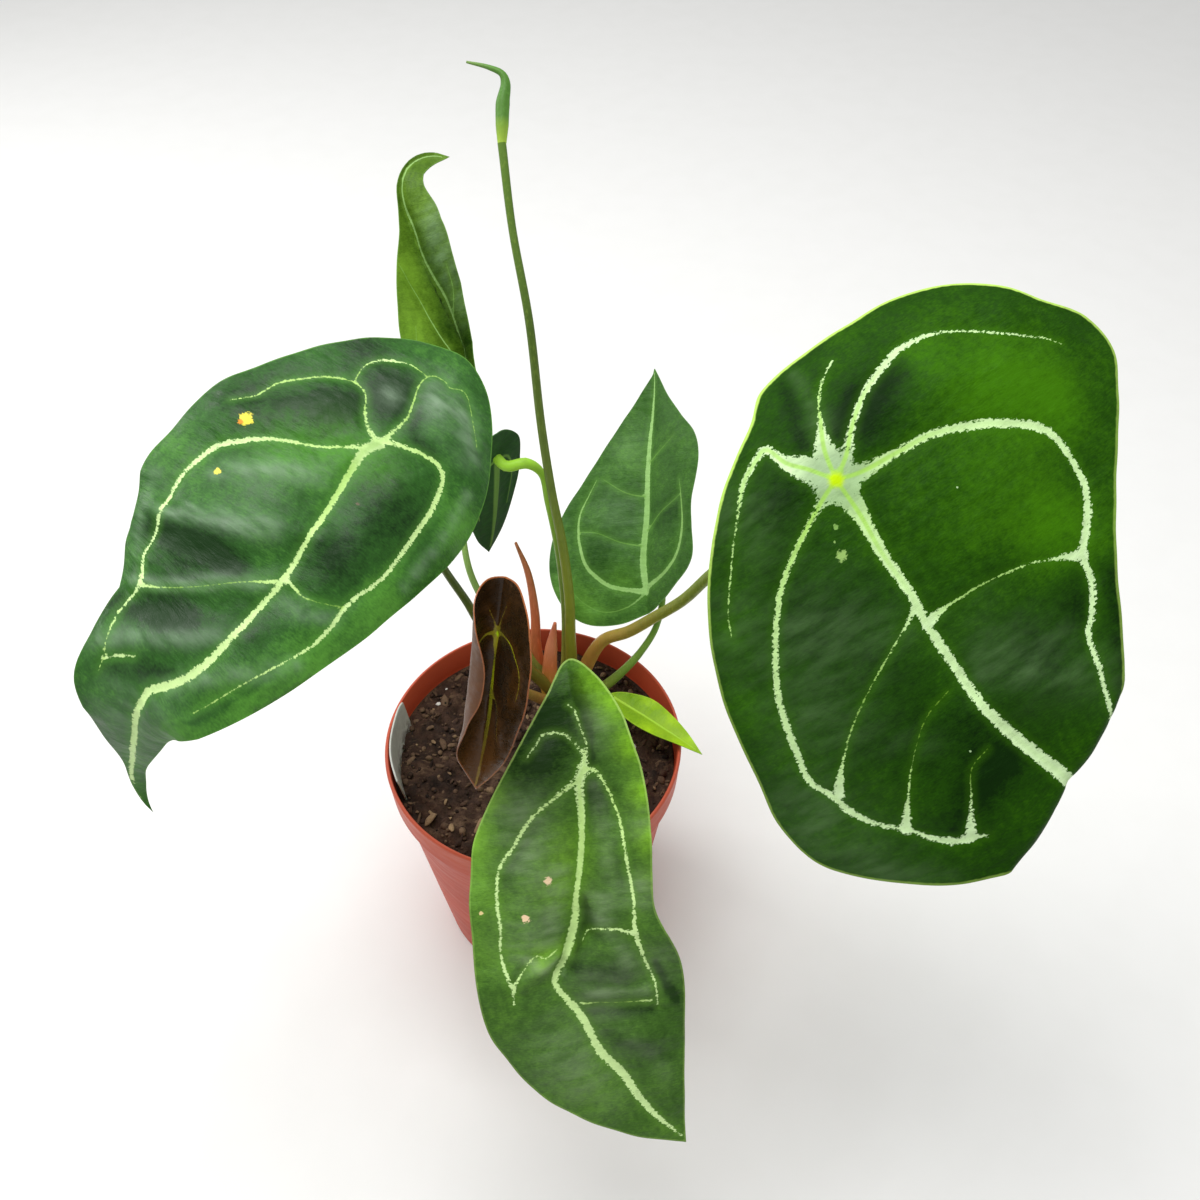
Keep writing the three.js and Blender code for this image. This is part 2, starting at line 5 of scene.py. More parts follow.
import bpy
import numpy as np
from bpy.props import FloatProperty, FloatVectorProperty, IntProperty, PointerProperty
from mathutils.geometry import delaunay_2d_cdt
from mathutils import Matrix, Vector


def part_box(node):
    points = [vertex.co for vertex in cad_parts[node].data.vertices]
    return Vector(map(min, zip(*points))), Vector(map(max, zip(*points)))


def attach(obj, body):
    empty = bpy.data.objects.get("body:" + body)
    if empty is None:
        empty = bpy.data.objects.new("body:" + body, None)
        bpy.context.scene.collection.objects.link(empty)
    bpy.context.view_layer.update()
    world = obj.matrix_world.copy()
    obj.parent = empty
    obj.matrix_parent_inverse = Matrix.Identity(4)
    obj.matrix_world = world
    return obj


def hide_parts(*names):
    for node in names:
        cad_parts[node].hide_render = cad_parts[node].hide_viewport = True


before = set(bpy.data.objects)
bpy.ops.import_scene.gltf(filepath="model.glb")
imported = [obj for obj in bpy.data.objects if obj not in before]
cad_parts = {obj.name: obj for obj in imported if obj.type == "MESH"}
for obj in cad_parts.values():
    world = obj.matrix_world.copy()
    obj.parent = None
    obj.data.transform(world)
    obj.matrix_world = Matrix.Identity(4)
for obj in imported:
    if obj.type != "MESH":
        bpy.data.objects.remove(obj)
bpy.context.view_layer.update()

bl_info = {
    "name": "Potted velvet-leaved house plant",
    "version": (1, 0, 0),
    "blender": (4, 5, 0),
    "location": "3D View > Sidebar > House plant",
    "description": "Builds a potted house plant with silver-veined shield leaves, piece by piece",
    "category": "Object",
}

MM = 0.001
BODY = "root"
SEED = 11

# Corners closer than this, in metres, are one corner
DOUBLED = 1e-6

# The flat layout of every blade on its UV map: millimetres across the map, and where its stalk meets it
FLAT_SPAN = 260.0
FLAT_ATTACH = (70.0, 130.0)

# A blade is laid out flat as (along, across) in millimetres from where its stalk meets it: along its axis
# towards the tip, and across to its left. It is then bent.
#
# Its form. heading is its axis's direction in degrees anticlockwise from +X, dip is how far that points
# below level, and roll is how far its left half is raised. A spine row is (along, droop, swerve) in degrees
# from there. A section row is (along, left fold, left curl, right fold, right curl): degrees up at the
# midrib, and degrees up for each millimetre outward. left and right are its margins, from the rear to the
# tip. midrib is how far the rib strays across. A dent is (along, across, reach, height). tuck rolls the tip
# under, past a line across the axis at from, aslant by slant.
#
# Its veins. A vein is (path, widths, tints, rank): widths and tints are spread evenly along its path, tint
# runs from 0 for silver to 1 for yellow-green, and rank 1 sinks deeper than rank 2. hub is the radius of the
# pale star where they meet, and dot that of the glowing dot in it. core is how strongly yellow runs along
# their middle.
#
# Its relief, in millimetres. puff is how far the blade swells between its veins, in full from about
# puff_reach away, furrow is how deep the veins sink, and wave is the height of slow uneven waves. A ridge is
# (path, height, reach).
#
# Its colours. tone, glow and bloom are painted as (along, across, reach, amount): tone runs from dark to
# bright, the blade's own patches with painted shade and light among them; glow adds glowing, partly the
# blade's own brighter green and partly painted light shining through the thin blade; and bloom adds the
# hazy gleam, a painted sheen of light on the velvet. A crease is a stroke of tone, painted shade along a
# fold, and a sheen is one of bloom, a painted sheen, as (path, amount, reach). A spot is (along, across,
# radius, colour). silver, yellow and star are the veins' colours, and under, under_vein and edge those
# below and at the margin, which is edge_width wide and coloured by edge_amount. ragged is how uneven the
# veins' edges are and fade how far their yellow ends fade. specular and shine are the shader's specular
# level and roughness.
#
# What a blade has unless its own entry says otherwise
PLAIN_BLADE = {
    "midrib": [(0, 0)], "tuck": None, "dents": [], "dot": 0.0, "ridges": [], "painted_sheens": [], "crease_shade": [],
    "tone": [], "glow": [], "bloom": [], "spots": [], "edge_width": 0.5, "shine": 0.46,
}
BLADES = {
    "leaf_left": {
        "attach": (-33, -38, 304), "heading": -119, "dip": 15, "roll": -16, "slot": "leaf",
        "spine": [(-45, -20, 0), (0, 0, 0), (40, 5, -2), (60, 8, -12), (84, 14, -32), (92, 35, -24),
                  (104, 68, 0), (126, 82, 4), (136, 66, 34), (148, 40, 76)],
        "section": [(0, -4, -1.3, 8, -0.45)],
        "left": [(-40, 0), (-38, 10), (-31, 20), (-14, 31), (6, 37), (27, 33), (47, 26.5), (63, 21.5),
                 (85, 17), (94, 13.8), (100, 11.9), (107, 9.8), (124, 4), (136, 2), (147, 0)],
        "right": [(-40, 0), (-35, -13), (-22, -27), (-7, -38), (7, -48), (24, -50), (37, -50), (58, -42),
                  (72, -37), (84, -28), (92, -21.5), (99, -18), (107, -10), (122, -3), (136, -1.5),
                  (147, 0)],
        "veins": [
            ([(0, 0), (5, -2), (18, -1), (32, 0), (46, 1), (57, 1), (68, 2), (77, 3), (84, 2), (89, 0),
              (94, 1), (108, 2), (131, -1), (141, -0.5)],
             [3.2, 1.7, 1.4, 1.3, 1.3, 1.4, 1.6, 1.9, 2.1, 1.9, 1.7, 1.5, 1.0, 0.3],
             [0.8, 0.3, 0.15, 0.1, 0], 1),
            ([(0, 0), (-2, 2), (-4, 8), (-5, 13), (-5, 17), (-2, 20), (6, 22), (15, 22), (25, 22), (32, 21),
              (41, 18), (48, 18), (55, 17), (63, 14), (71, 12), (82, 11)],
             [1.8, 1, 1.1, 1.4, 1.4, 1.2, 1, 0.9, 1, 0.9, 0.4, 0.2, 0.1, 0.1],
             [0.5, 0.2, 0.1, 0.1, 0.3, 0.7], 1),
            ([(0, 0), (3, -3), (9, -12), (14, -24), (19, -31), (24, -36), (32, -38), (39, -38), (48, -36),
              (59, -33), (68, -31), (76, -25), (84, -23), (88, -19), (92, -15), (95, -13)],
             [1.7, 0.6, 0.6, 0.8, 1.4, 1.5, 1.1, 0.8, 0.9, 0.6, 0.4, 1.3, 0.4, 0.2, 0.1],
             [0.6, 0.4, 0.1, 0, 0, 0, 0.1, 0.6], 1),
            ([(0, 0), (-4, 1), (-11, 2), (-16, 1), (-23, -1), (-28, 0), (-29, 4), (-28, 6), (-30, 10),
              (-26, 15), (-18, 22)], [1.5, 0.6, 0.45, 0.4, 0.3, 0.15, 0.1, 0.1, 0.1], [0.6, 0.7, 0.8], 1),
            ([(0, 0), (-2, -4), (-6, -8), (-11, -11), (-13, -16), (-10, -23), (-5, -29), (-1, -33),
              (5, -36), (10, -40)], [1.6, 0.6, 0.45, 0.4, 0.5, 0.5, 0.45, 0.2, 0.1], [0.6, 0.6, 0.6, 0.5],
             1),
            ([(-13, -16), (-19, -16.5), (-23, -14), (-25, -11), (-27, -7), (-27, -2)],
             [0.2, 0.1, 0.5, 0.5, 0.1, 0.1], [0.9, 0.5, 0, 0.2, 0.9], 2),
            ([(46, 1), (53, -7), (63, -15), (71, -21), (76, -25)], [1.0, 0.15, 0.1, 0.1, 0.15, 1.4],
             [0.3, 0.9, 0.9, 0.1], 2),
            ([(45, 2), (46, 8), (44, 14), (42, 18)], [1.2, 0.15, 0.1, 0.1], [0.1, 0.9, 0.9], 2),
            ([(93, -14.5), (90, -12), (87, -9)], [0.1, 0.45, 0.35, 0.1], [0, 0.2], 2),
        ],
        "hub": 2.0, "puff": 2.6, "puff_reach": 9, "furrow": 0.55, "wave": 0.6, "core": 0.25,
        "ridges": [([(50, -36), (45, -25), (41, -16), (36, -8), (32, 1)], 2.0, 5),
                   ([(90, -18), (81, -10), (70, -3), (64, 3)], 1.8, 5),
                   ([(82, 1), (74, 5), (68, 10), (62, 16)], 1.6, 5),
                   ([(46, 1), (53, -7), (63, -15), (71, -21), (76, -25)], 1.0, 3)],
        "painted_sheens": [([(50, -36), (46, -27), (42, -17), (38, -8)], 0.42, 2.4),
                   ([(43, -30), (38, -18), (34, -8)], 0.25, 2.0),
                   ([(49, -2), (55, -10), (65, -18), (77, -27)], 0.4, 2.0),
                   ([(91, -18), (82, -11), (72, -4), (66, 0)], 0.42, 2.4),
                   ([(84, 2), (76, 5), (69, 10), (60, 17)], 0.4, 2.2),
                   ([(30, -30), (22, -18), (17, -8)], 0.3, 3.0), ([(50, 4), (50, 10), (46, 17)], 0.3, 2.0),
                   ([(-20, 6), (-22, 14), (-14, 22)], 0.35, 4.0),
                   ([(-4, 28), (12, 29), (28, 28)], 0.3, 2.0),
                   ([(38, -45), (56, -40), (70, -33)], 0.2, 2.0)],
        "crease_shade": [([(56, -34), (52, -22), (50, -10)], -0.4, 3.5),
                    ([(86, -25), (78, -16), (70, -9)], -0.35, 3.5),
                    ([(82, 13), (73, 13.5), (64, 14)], -0.3, 1.5),
                    ([(94, -12), (88, -6), (82, -1)], -0.3, 2.5),
                    ([(-7, -13), (-2, -20), (4, -28)], -0.3, 2.5),
                    ([(-6, 14), (-8, 6), (-14, 4)], -0.3, 2.0)],
        "tone": [(56, -22, 11, -0.3), (74, -15, 8, -0.3), (8, -35, 10, -0.3), (-1, -15, 8, -0.45),
                 (-15, -5, 8, -0.5), (13, 11, 10, -0.3), (34, 9, 9, -0.3), (60, 2, 6, -0.2),
                 (-24, -20, 8, -0.3), (5, 32, 7, 0.35), (38, 26, 8, 0.4), (57, 22, 8, 0.35),
                 (71, 17, 8, 0.3), (89, 16, 8, 0.25), (30, -47, 7, 0.15)],
        "glow": [(8, -8, 9, 0.5), (16, -20, 9, 0.4), (5, 3, 7, 0.35), (7, 33, 7, 0.3), (24, 28, 6, 0.2)],
        "bloom": [(25, -19, 8, 0.15), (-15, -5, 3, 0.45), (-20, 10, 9, 0.2), (-27, 2, 5, 0.2),
                  (98, -4, 7, 0.25), (104, 4, 8, 0.25), (90, 6, 8, 0.15)],
        "spots": [(13, -33, 2.0, (240, 226, 70)), (14.4, -33.8, 0.8, (235, 150, 30)),
                  (30, -30, 1.1, (235, 220, 90)), (18, 5, 0.5, (90, 85, 60))],
        "dark": (14, 50, 6), "middle": (44, 94, 28), "bright": (84, 146, 48), "gleam": (144, 170, 140),
        "glowing": (80, 152, 26), "silver": (212, 242, 168), "yellow": (166, 216, 84),
        "under": (92, 138, 70), "under_vein": (150, 186, 110), "edge": (120, 180, 70),
        "edge_amount": 0.35, "ragged": 0.75, "fade": 0.5, "specular": 0.24,
    },
    "leaf_right": {
        "attach": (88, -56, 307), "heading": -50, "dip": 30, "roll": 30, "slot": "leaf_dark",
        "spine": [(-60, -45, 0), (-20, -18, 0), (0, 0, 0), (80, 8, 0), (98, 15, 0)],
        "tuck": {"from": 100, "slant": 26.6, "radius": 3, "angle": 125},
        "section": [(0, 0, -0.3, 5, -0.6)],
        "left": [(-33, 0), (-35.5, 21), (-36.5, 43), (-30, 63), (-14, 76), (0, 85), (12, 85.5), (24, 77),
                 (41, 62), (58, 49), (76, 38), (90, 29), (104, 21), (120, 12), (136, 4)],
        "right": [(-33, 0), (-25, -10), (-12, -29), (10, -48), (33, -59), (56, -64), (71, -67), (83, -65),
                  (93, -57), (101, -45), (108, -32), (113, -18), (124, -5), (136, 4)],
        "veins": [
            ([(0, 0), (11, 0), (22, -1), (35, -1), (44, -2), (56, -2), (69, -2), (82, 1), (98, 6), (112, 9),
              (134, 4)], [8, 3.4, 2.5, 2.3, 2.3, 2.5, 2.9, 3.4, 3.9, 3.4, 1], [0.5, 0.2, 0.1, 0.05, 0, 0],
             1),
            ([(0, 0), (2, 7), (3, 18), (4, 27), (7, 35), (11, 43), (16, 50), (21, 54), (29, 55), (37, 54),
              (44, 50), (50, 44), (52, 42), (59, 40), (66, 35), (70, 31), (79, 28), (91, 24)],
             [8.5, 3.2, 1.9, 2, 2.3, 2.4, 2.2, 1.9, 1.8, 1.9, 2.2, 1.7, 1.4, 1.5, 1.1, 0.9],
             [0.4, 0.3, 0.2, 0.15, 0.1, 0.05, 0, 0], 1),
            ([(0, 0), (2, -5), (6, -13), (12, -23), (18, -30), (28, -38), (40, -45), (53, -49), (63, -51),
              (69, -48), (76, -46), (82, -42), (87, -36), (92, -32), (96, -27), (98, -21), (99, -19)],
             [6, 1.3, 1.2, 1.3, 1.3, 1.4, 1.5, 1.7, 2.0, 1.7, 1.4, 2, 1, 0.9, 2.0, 0.3],
             [0.4, 0.42, 0.4, 0.3, 0.2, 0.1, 0.05, 0, 0], 1),
            ([(0, 0), (-6, -4), (-11, -8), (-17, -10), (-16, -14), (-13, -20), (-6, -27), (2, -34),
              (13, -43), (19, -46)], [8.5, 7, 2.4, 1.6, 1.2, 0.25, 0.1, 0.1, 0.1, 0.05],
             [0, 0, 0.2, 0.5, 0.6], 1),
            ([(0, 0), (-4, 6), (-9, 11), (-15, 19), (-19, 28), (-21, 35), (-20, 44), (-15, 53), (-9, 60),
              (-2, 68), (3, 72)], [8, 2.4, 1.5, 1.5, 1.8, 1.9, 1.1, 0.35, 0.3, 0.4, 0.1, 0.05],
             [0.1, 0.05, 0, 0, 0.1, 0.1, 0.5], 1),
            ([(0, 0), (-8, 2), (-14, 5), (-21, 9), (-25, 13), (-28, 18)],
             [9, 8, 4.2, 1.6, 0.2, 0.8, 0.1, 0.1], [0, 0, 0.2, 0], 1),
            ([(44, -2), (43, 2), (43, 14), (45, 26), (48, 34), (52, 42)],
             [3, 0.6, 0.25, 0.25, 0.3, 0.5, 3.2], [0, 0.6, 0.7, 0.6, 0.3, 0], 2),
            ([(37, -1), (40, -5), (44, -13), (50, -24), (57, -34), (65, -42), (70, -46)],
             [1.5, 0.25, 0.15, 0.15, 0.15, 0.5, 3], [0.1, 0.6, 0.8, 0.6, 0], 2),
            ([(87, -36), (81, -32), (72, -25), (64, -16), (61, -7)], [3, 0.2, 0.05, 0, 0], [0, 0.5, 1, 1],
             2),
            ([(97, -23), (87, -17), (81, -13), (79, -7)], [3.2, 1.0, 0.1, 0, 0], [0, 0.1, 1, 1], 2),
        ],
        "hub": 6.4, "dot": 2.7, "puff": 1.3, "puff_reach": 9, "furrow": 0.5, "wave": 0.6, "core": 0.75,
        "ridges": [([(70, -3), (72, 8), (76, 24)], 1.2, 6), ([(36, -4), (52, -20), (66, -40)], 0.8, 6)],
        "painted_sheens": [([(63, 2), (68, 12), (76, 22)], 0.3, 3.0), ([(58, 4), (62, 16), (66, 28)], 0.2, 2.5),
                   ([(-12, 4), (-22, 7), (-31, 8)], 0.35, 2.0),
                   ([(26, -30), (34, -18), (42, -8)], 0.2, 5.0),
                   ([(92, -52), (98, -44), (104, -34)], 0.3, 3.0),
                   ([(48, -40), (60, -30), (70, -18)], 0.15, 4.0)],
        "crease_shade": [([(-10, 8), (-14, 18), (-15, 30)], -0.4, 4.0),
                    ([(-12, -2), (-20, 1), (-30, 4)], -0.3, 2.5),
                    ([(84, -4), (88, -14), (92, -24)], -0.3, 5.0),
                    ([(46, 40), (44, 24), (42, 8)], -0.15, 2.5),
                    ([(60, 46), (70, 40), (84, 32)], -0.3, 3.0)],
        "tone": [(2, 49, 16, 0.3), (40, 40, 14, 0.35), (18, 22, 14, 0.1), (12, 60, 10, 0.3),
                 (-21, 39, 8, 0.1), (30, -24, 16, -0.25), (60, -24, 14, -0.15), (80, -10, 12, -0.25),
                 (67, 15, 12, -0.25), (-10, 16, 8, -0.35), (-4, -14, 8, -0.25), (60, 34, 8, -0.2)],
        "glow": [(2, 49, 14, 0.55), (42, 40, 10, 0.6), (16, 60, 9, 0.5), (-14, 38, 7, 0.3),
                 (20, 30, 12, 0.2), (18, -46, 6, 0.3), (38, -54, 7, 0.35), (30, 12, 8, 0.15)],
        "bloom": [(47, -40, 16, 0.3), (91, -50, 14, 0.4), (31, -25, 16, 0.3), (67, 15, 11, 0.3),
                  (70, -58, 14, 0.35), (16, -46, 14, 0.3), (-8, -26, 10, 0.3), (56, 8, 9, 0.25),
                  (0, -24, 9, 0.2), (72, -58, 9, 0.3), (80, 28, 8, 0.3), (-14, 5, 5, 0.3)],
        "spots": [(17, -10, 1.5, (140, 175, 95)), (10, -7, 0.8, (120, 160, 80)),
                  (13, -9.5, 0.4, (130, 165, 90)), (19, 24, 0.3, (170, 200, 150)),
                  (77, -11, 0.3, (170, 200, 150))],
        "dark": (10, 38, 2), "middle": (30, 70, 2), "bright": (56, 106, 2), "gleam": (76, 106, 62),
        "glowing": (60, 118, 2), "silver": (204, 232, 178), "yellow": (158, 210, 74),
        "star": (142, 172, 128), "under": (88, 136, 52), "under_vein": (150, 186, 110),
        "edge": (196, 236, 110),
        "edge_width": 1.0, "edge_amount": 0.8, "ragged": 1.0, "fade": 0.6, "specular": 0.056, "shine": 0.55,
    },
    "leaf_front": {
        "attach": (22, -78, 209), "heading": -79, "dip": 37, "roll": 0, "slot": "leaf",
        "spine": [(-45, -12, 0), (0, 0, 0), (60, 8, 0), (124, 20, 6)],
        "midrib": [(-34, 0), (0, 0), (16, -3), (38, -8), (52, -12), (61, -17), (70, -13), (94, -2),
                   (122, 12)],
        "section": [(-60, 36, -0.4, 14, -0.9), (20, 34, -0.4, 12, -0.9), (50, 24, -0.4, 8, -0.8),
                    (65, 12, -0.4, 4, -0.6), (124, 4, -0.2, 0, -0.3)],
        "left": [(-34, 0), (-29, 8), (-14, 16), (4, 19), (20, 19), (33, 17), (43, 16), (53, 19), (63, 21),
                 (78, 20), (104, 16), (124, 13)],
        "right": [(-34, 0), (-24, -8), (-11, -18), (4, -29), (16, -36), (32, -40), (46, -41), (60, -41.5),
                  (76, -39.5), (92, -31), (104, -20), (116, -3), (124, 13)],
        "dents": [(14, -40, 13, -6)],
        "veins": [
            ([(0, 0), (4, -2), (16, -3), (27, -5), (38, -8), (46, -10), (55, -14), (62, -18), (68, -15),
              (75, -11), (85, -8), (95, -2), (105, 2), (114, 7), (121, 12)],
             [3.4, 2.4, 2.1, 1.9, 1.7, 1.8, 2.1, 1.8, 1.6, 2.3, 2.3, 2.5, 2.4, 1.9, 1.3, 0.4],
             [0, 0.4, 0.35, 0.2, 0.1, 0.05, 0], 1),
            ([(0, 0), (2, -1), (7, -10), (12, -18), (20, -25), (26, -30), (35, -32), (43, -32), (52, -33),
              (62, -31), (66, -31)], [2, 1, 0.8, 0.8, 1, 0.7, 0.7, 0.8, 0.6, 0.5, 0.9, 0.2], [0, 0.15, 0],
             1),
            ([(0, 0), (1, 4), (7, 7), (14, 9), (22, 10), (32, 10), (40, 10), (49, 9), (58, 10), (66, 12),
              (74, 12)], [1.4, 0.5, 0.6, 0.8, 0.9, 0.7, 0.8, 1.4, 0.7, 0.4, 0.2], [0.5, 0.2, 0.1, 0], 1),
            ([(50, 9), (48, 4), (47, -2), (48, -6), (51, -8)], [1.6, 0.5, 0.4, 0.2, 0.1], [0, 0.2, 0.4], 2),
            ([(63, -31), (58, -28), (53, -23), (54, -20), (52, -16)], [0.8, 0.3, 0.2, 0.4, 0.1], [0.1, 0.6],
             2),
            ([(70, -11), (71, -1), (72, 10)], [0.5, 0.06, 0.05, 0.05, 0.5], [0.4, 1.0, 1.0, 0.3], 2),
            ([(0, 0), (-5, 0), (-10, -3), (-12, -6), (-12, -11), (-9, -14), (-6, -17)],
             [2, 0.1, 0.1, 0.5, 0.4, 0.4, 0.2], [0, 0], 2),
            ([(0, 0), (-7, 2), (-13, 1), (-18, 0), (-20, -2)], [2.4, 0.6, 0.1, 0.1, 0.6, 0.2], [0, 0], 2),
        ],
        "hub": 2.2, "puff": 1.5, "puff_reach": 7, "furrow": 0.5, "wave": 0.9, "core": 0.3,
        "ridges": [([(43, -6), (48, -8), (52, -11), (58, -14)], -2.0, 2.6),
                   ([(60, -27), (57, -21), (54, -16)], 1.8, 2.4), ([(46, -2), (52, 1), (62, 3)], 1.6, 4),
                   ([(66, -8), (67, 2), (68, 10)], 1.0, 2.5), ([(72, -6), (74, 4), (75, 12)], -0.9, 2.0),
                   ([(82, -1), (84, 8), (86, 16)], 0.9, 3.5), ([(30, -20), (42, -22), (52, -24)], 0.8, 4)],
        "painted_sheens": [([(30, -12), (38, -15), (46, -17)], 0.22, 3.5),
                   ([(66, -8), (67, 2), (68, 9)], 0.25, 1.6), ([(46, 0), (50, 3), (58, 5)], 0.25, 2.5),
                   ([(54, -25), (57, -21), (55, -17)], 0.45, 1.5), ([(5, 3), (20, 4), (34, 5)], 0.2, 3.0),
                   ([(84, 2), (90, 8), (98, 10)], 0.15, 3.0)],
        "crease_shade": [([(38, -5.5), (44, -6), (49, -8), (53, -11)], -0.8, 1.3),
                    ([(-3, 2.5), (-14, 4), (-28, 2)], -0.5, 2.2), ([(47, -4), (48, 1), (49, 6)], -0.4, 1.5),
                    ([(58, -13), (60, -6), (60, 2)], -0.35, 3.5),
                    ([(72, -9), (74, 0), (75, 10)], -0.35, 1.8),
                    ([(59, -30), (54, -25), (53, -21)], -0.45, 1.4),
                    ([(30, -30), (22, -24), (14, -18)], -0.3, 2.5),
                    ([(60, 13), (66, 15), (74, 18)], -0.4, 1.6),
                    ([(80, -4), (86, 4), (92, 12)], -0.25, 2.5)],
        "tone": [(-16, -8, 10, -0.4), (-3, -13, 9, -0.3), (8, 3, 6, -0.3), (14, -38, 8, 0.4),
                 (30, -36, 9, 0.25), (52, -36, 10, 0.2), (80, 14, 9, -0.1), (45, -4, 4, -0.4),
                 (100, -14, 12, 0.15)],
        "glow": [(-27, 9, 6, 0.6), (-18, 14, 6, 0.8), (-5, 17.5, 5, 0.85), (9, 19.5, 5, 0.8),
                 (22, 19, 5, 0.7), (34, 17, 4, 0.35), (14, -40, 6, 0.9), (4, -30, 5, 0.6), (24, -8, 8, 0.3),
                 (34, -12, 8, 0.3), (54, -21, 4, 0.7), (52, -14, 3, 0.5)],
        "bloom": [(10, -21, 8, 0.35), (40, 0, 5, 0.35), (37, 12, 5, 0.4), (18, 16, 5, 0.2),
                  (23, -22, 7, 0.25), (-12, 6, 6, 0.3), (60, 14, 7, 0.2), (48, -24, 9, 0.3),
                  (84, -18, 12, 0.25), (66, -4, 10, 0.25), (28, -18, 10, 0.15), (96, -10, 10, 0.15)],
        "spots": [(31, -16, 1.3, (236, 208, 168)), (41, -24, 1.3, (236, 205, 165)),
                  (38, -37, 0.7, (220, 200, 140))],
        "dark": (24, 54, 6), "middle": (62, 100, 32), "bright": (98, 146, 46), "gleam": (148, 170, 130),
        "glowing": (132, 190, 36), "silver": (204, 234, 162), "yellow": (172, 214, 96),
        "under": (120, 170, 52), "under_vein": (160, 196, 110), "edge": (190, 225, 120),
        "edge_width": 0.7, "edge_amount": 0.5, "ragged": 0.8, "fade": 0.3, "specular": 0.15, "shine": 0.44,
    },
    "leaf_young": {
        "attach": (-2, -64, 256), "heading": -105, "dip": 58, "roll": 0, "slot": "leaf_young",
        "spine": [(-45, 0, 0), (0, 0, 0), (36, -5, 0), (80, -10, -10)],
        "section": [(-20, 45, 0.3, 30, 5.5), (8, 45, 0.3, 20, 7.5), (28, 42, 0.3, 22, 7.5),
                    (47, 40, 0.3, 40, 4)],
        "left": [(-17, 0), (-17, 8), (-13, 14), (-7, 19), (4, 22), (16, 21), (24, 18), (34, 13), (41, 7),
                 (48, 0)],
        "right": [(-17, 0), (-16, -6), (-11, -12), (-4, -17), (5, -20), (16, -20), (25, -16), (35, -11),
                  (42, -5), (48, 0)],
        "veins": [
            ([(0, 0), (3, 0), (12, 1), (24, 2), (33, 1), (42, 0), (47, -0.5)],
             [2.4, 1.5, 1.6, 1.8, 1.7, 1.4, 0.8], [1, 0.9, 0.5, 0.2, 0, 0], 1),
            ([(0, 0), (-1, 4), (0, 10), (4, 15), (9, 17), (15, 16)], [1.6, 0.5, 0.35, 0.25, 0.15, 0.1],
             [1, 0.7, 0.3, 0.1], 2),
            ([(0, 0), (0, -4), (3, -8), (10, -10)], [1.6, 0.5, 0.3, 0.1], [1, 0.7, 0.3], 2),
            ([(0, 0), (-5, 2.5), (-10, 5)], [1.4, 0.2, 0.1], [1, 0.3, 0.1], 2),
            ([(0, 0), (-4, -2), (-8, -4.5)], [1.4, 0.2, 0.1], [1, 0.3, 0.1], 2),
            ([(16, 1.5), (22, 7), (30, 8)], [0.4, 0.1, 0.1], [0.2, 0], 2),
        ],
        "hub": 1.3, "dot": 1.1, "puff": 0.4, "puff_reach": 5, "furrow": -0.6, "wave": 0.35, "core": 0.0,
        "ridges": [([(-6, -14), (10, -16), (26, -12)], 0.5, 3), ([(2, 14), (14, 12), (28, 8)], 0.4, 3)],
        "tone": [(30, 2, 8, 0.3), (40, 0, 8, 0.4), (12, 14, 6, 0.1)],
        "bloom": [(24, 5, 3, 0.25)],
        "dark": (16, 9, 2), "middle": (44, 26, 5), "bright": (84, 52, 16), "gleam": (110, 86, 66),
        "glowing": (120, 90, 28), "silver": (124, 100, 36), "yellow": (196, 210, 16), "under": (84, 48, 20),
        "under_vein": (150, 108, 60), "edge": (196, 116, 66),
        "edge_amount": 0.8, "ragged": 0.15, "fade": 0.0, "specular": 0.45, "shine": 0.3,
    },
    "leaf_back": {
        "attach": (46, 37, 166), "heading": 89, "dip": -38, "roll": -28, "slot": "leaf_pale",
        "spine": [(-45, -15, 0), (0, 0, 0), (86, 5, 0)],
        "section": [(-20, 10, -0.3, 36, -0.5), (86, 10, -0.3, 30, -0.4)],
        "left": [(-9, 0), (-13, 12), (-13, 25), (-8, 35), (4, 43), (19, 44), (32, 39), (47, 28), (65, 16),
                 (78, 7), (91, -1)],
        "right": [(-9, 0), (-6, -8), (2, -20), (11, -28), (23, -27), (34, -27), (48, -30), (59, -27),
                  (68, -19), (79, -9), (91, -1)],
        "veins": [
            ([(0, 0), (12, 2), (30, 1), (50, 1), (70, 0), (83, -1), (90, -1)],
             [3.2, 2.6, 2.3, 2, 1.7, 1.1, 0.3], [0.4, 0.1, 0.1], 1),
            ([(0, 0), (0, 3), (2, 15), (6, 22), (11, 27), (19, 30), (25, 31), (33, 30), (46, 23)],
             [2.4, 1.6, 1.6, 1.5, 1.3, 1.1, 0.8, 0.4, 0.1], [0.4, 0.2, 0.5], 1),
            ([(0, 0), (2, -2), (7, -13), (15, -20), (26, -22), (42, -20)], [2.2, 1.5, 1.3, 1.1, 0.7, 0.1],
             [0.4, 0.3, 0.7], 1),
            ([(0, 0), (-6, 8), (-8, 18), (-4, 28), (4, 36)], [0.9, 0.4, 0.3, 0.2, 0.1], [0.8, 1], 2),
            ([(18, 2), (20, 12), (24, 22), (25, 31)], [0.6, 0.3, 0.2, 0.3], [0.9, 1], 2),
            ([(38, 1), (40, 10), (46, 20)], [0.6, 0.3, 0.15], [0.9, 1], 2),
            ([(24, 1), (30, -8), (36, -20)], [0.6, 0.3, 0.2], [0.9, 1], 2),
            ([(52, 1), (56, -8), (60, -16)], [0.5, 0.25, 0.1], [0.9, 1], 2),
        ],
        "hub": 1.6, "puff": 1.1, "puff_reach": 7, "furrow": 0.35, "wave": 0.6, "core": 0.1,
        "tone": [(16, 20, 9, -0.15), (40, 12, 9, -0.1), (2, 36, 8, 0.3), (-8, 24, 6, 0.3), (56, 8, 8, 0.15),
                 (30, -14, 8, -0.25), (80, 0, 10, -0.1)],
        "glow": [(-6, 30, 8, 0.3), (4, 10, 7, 0.25)],
        "bloom": [(30, 12, 10, 0.25), (60, 10, 8, 0.2)],
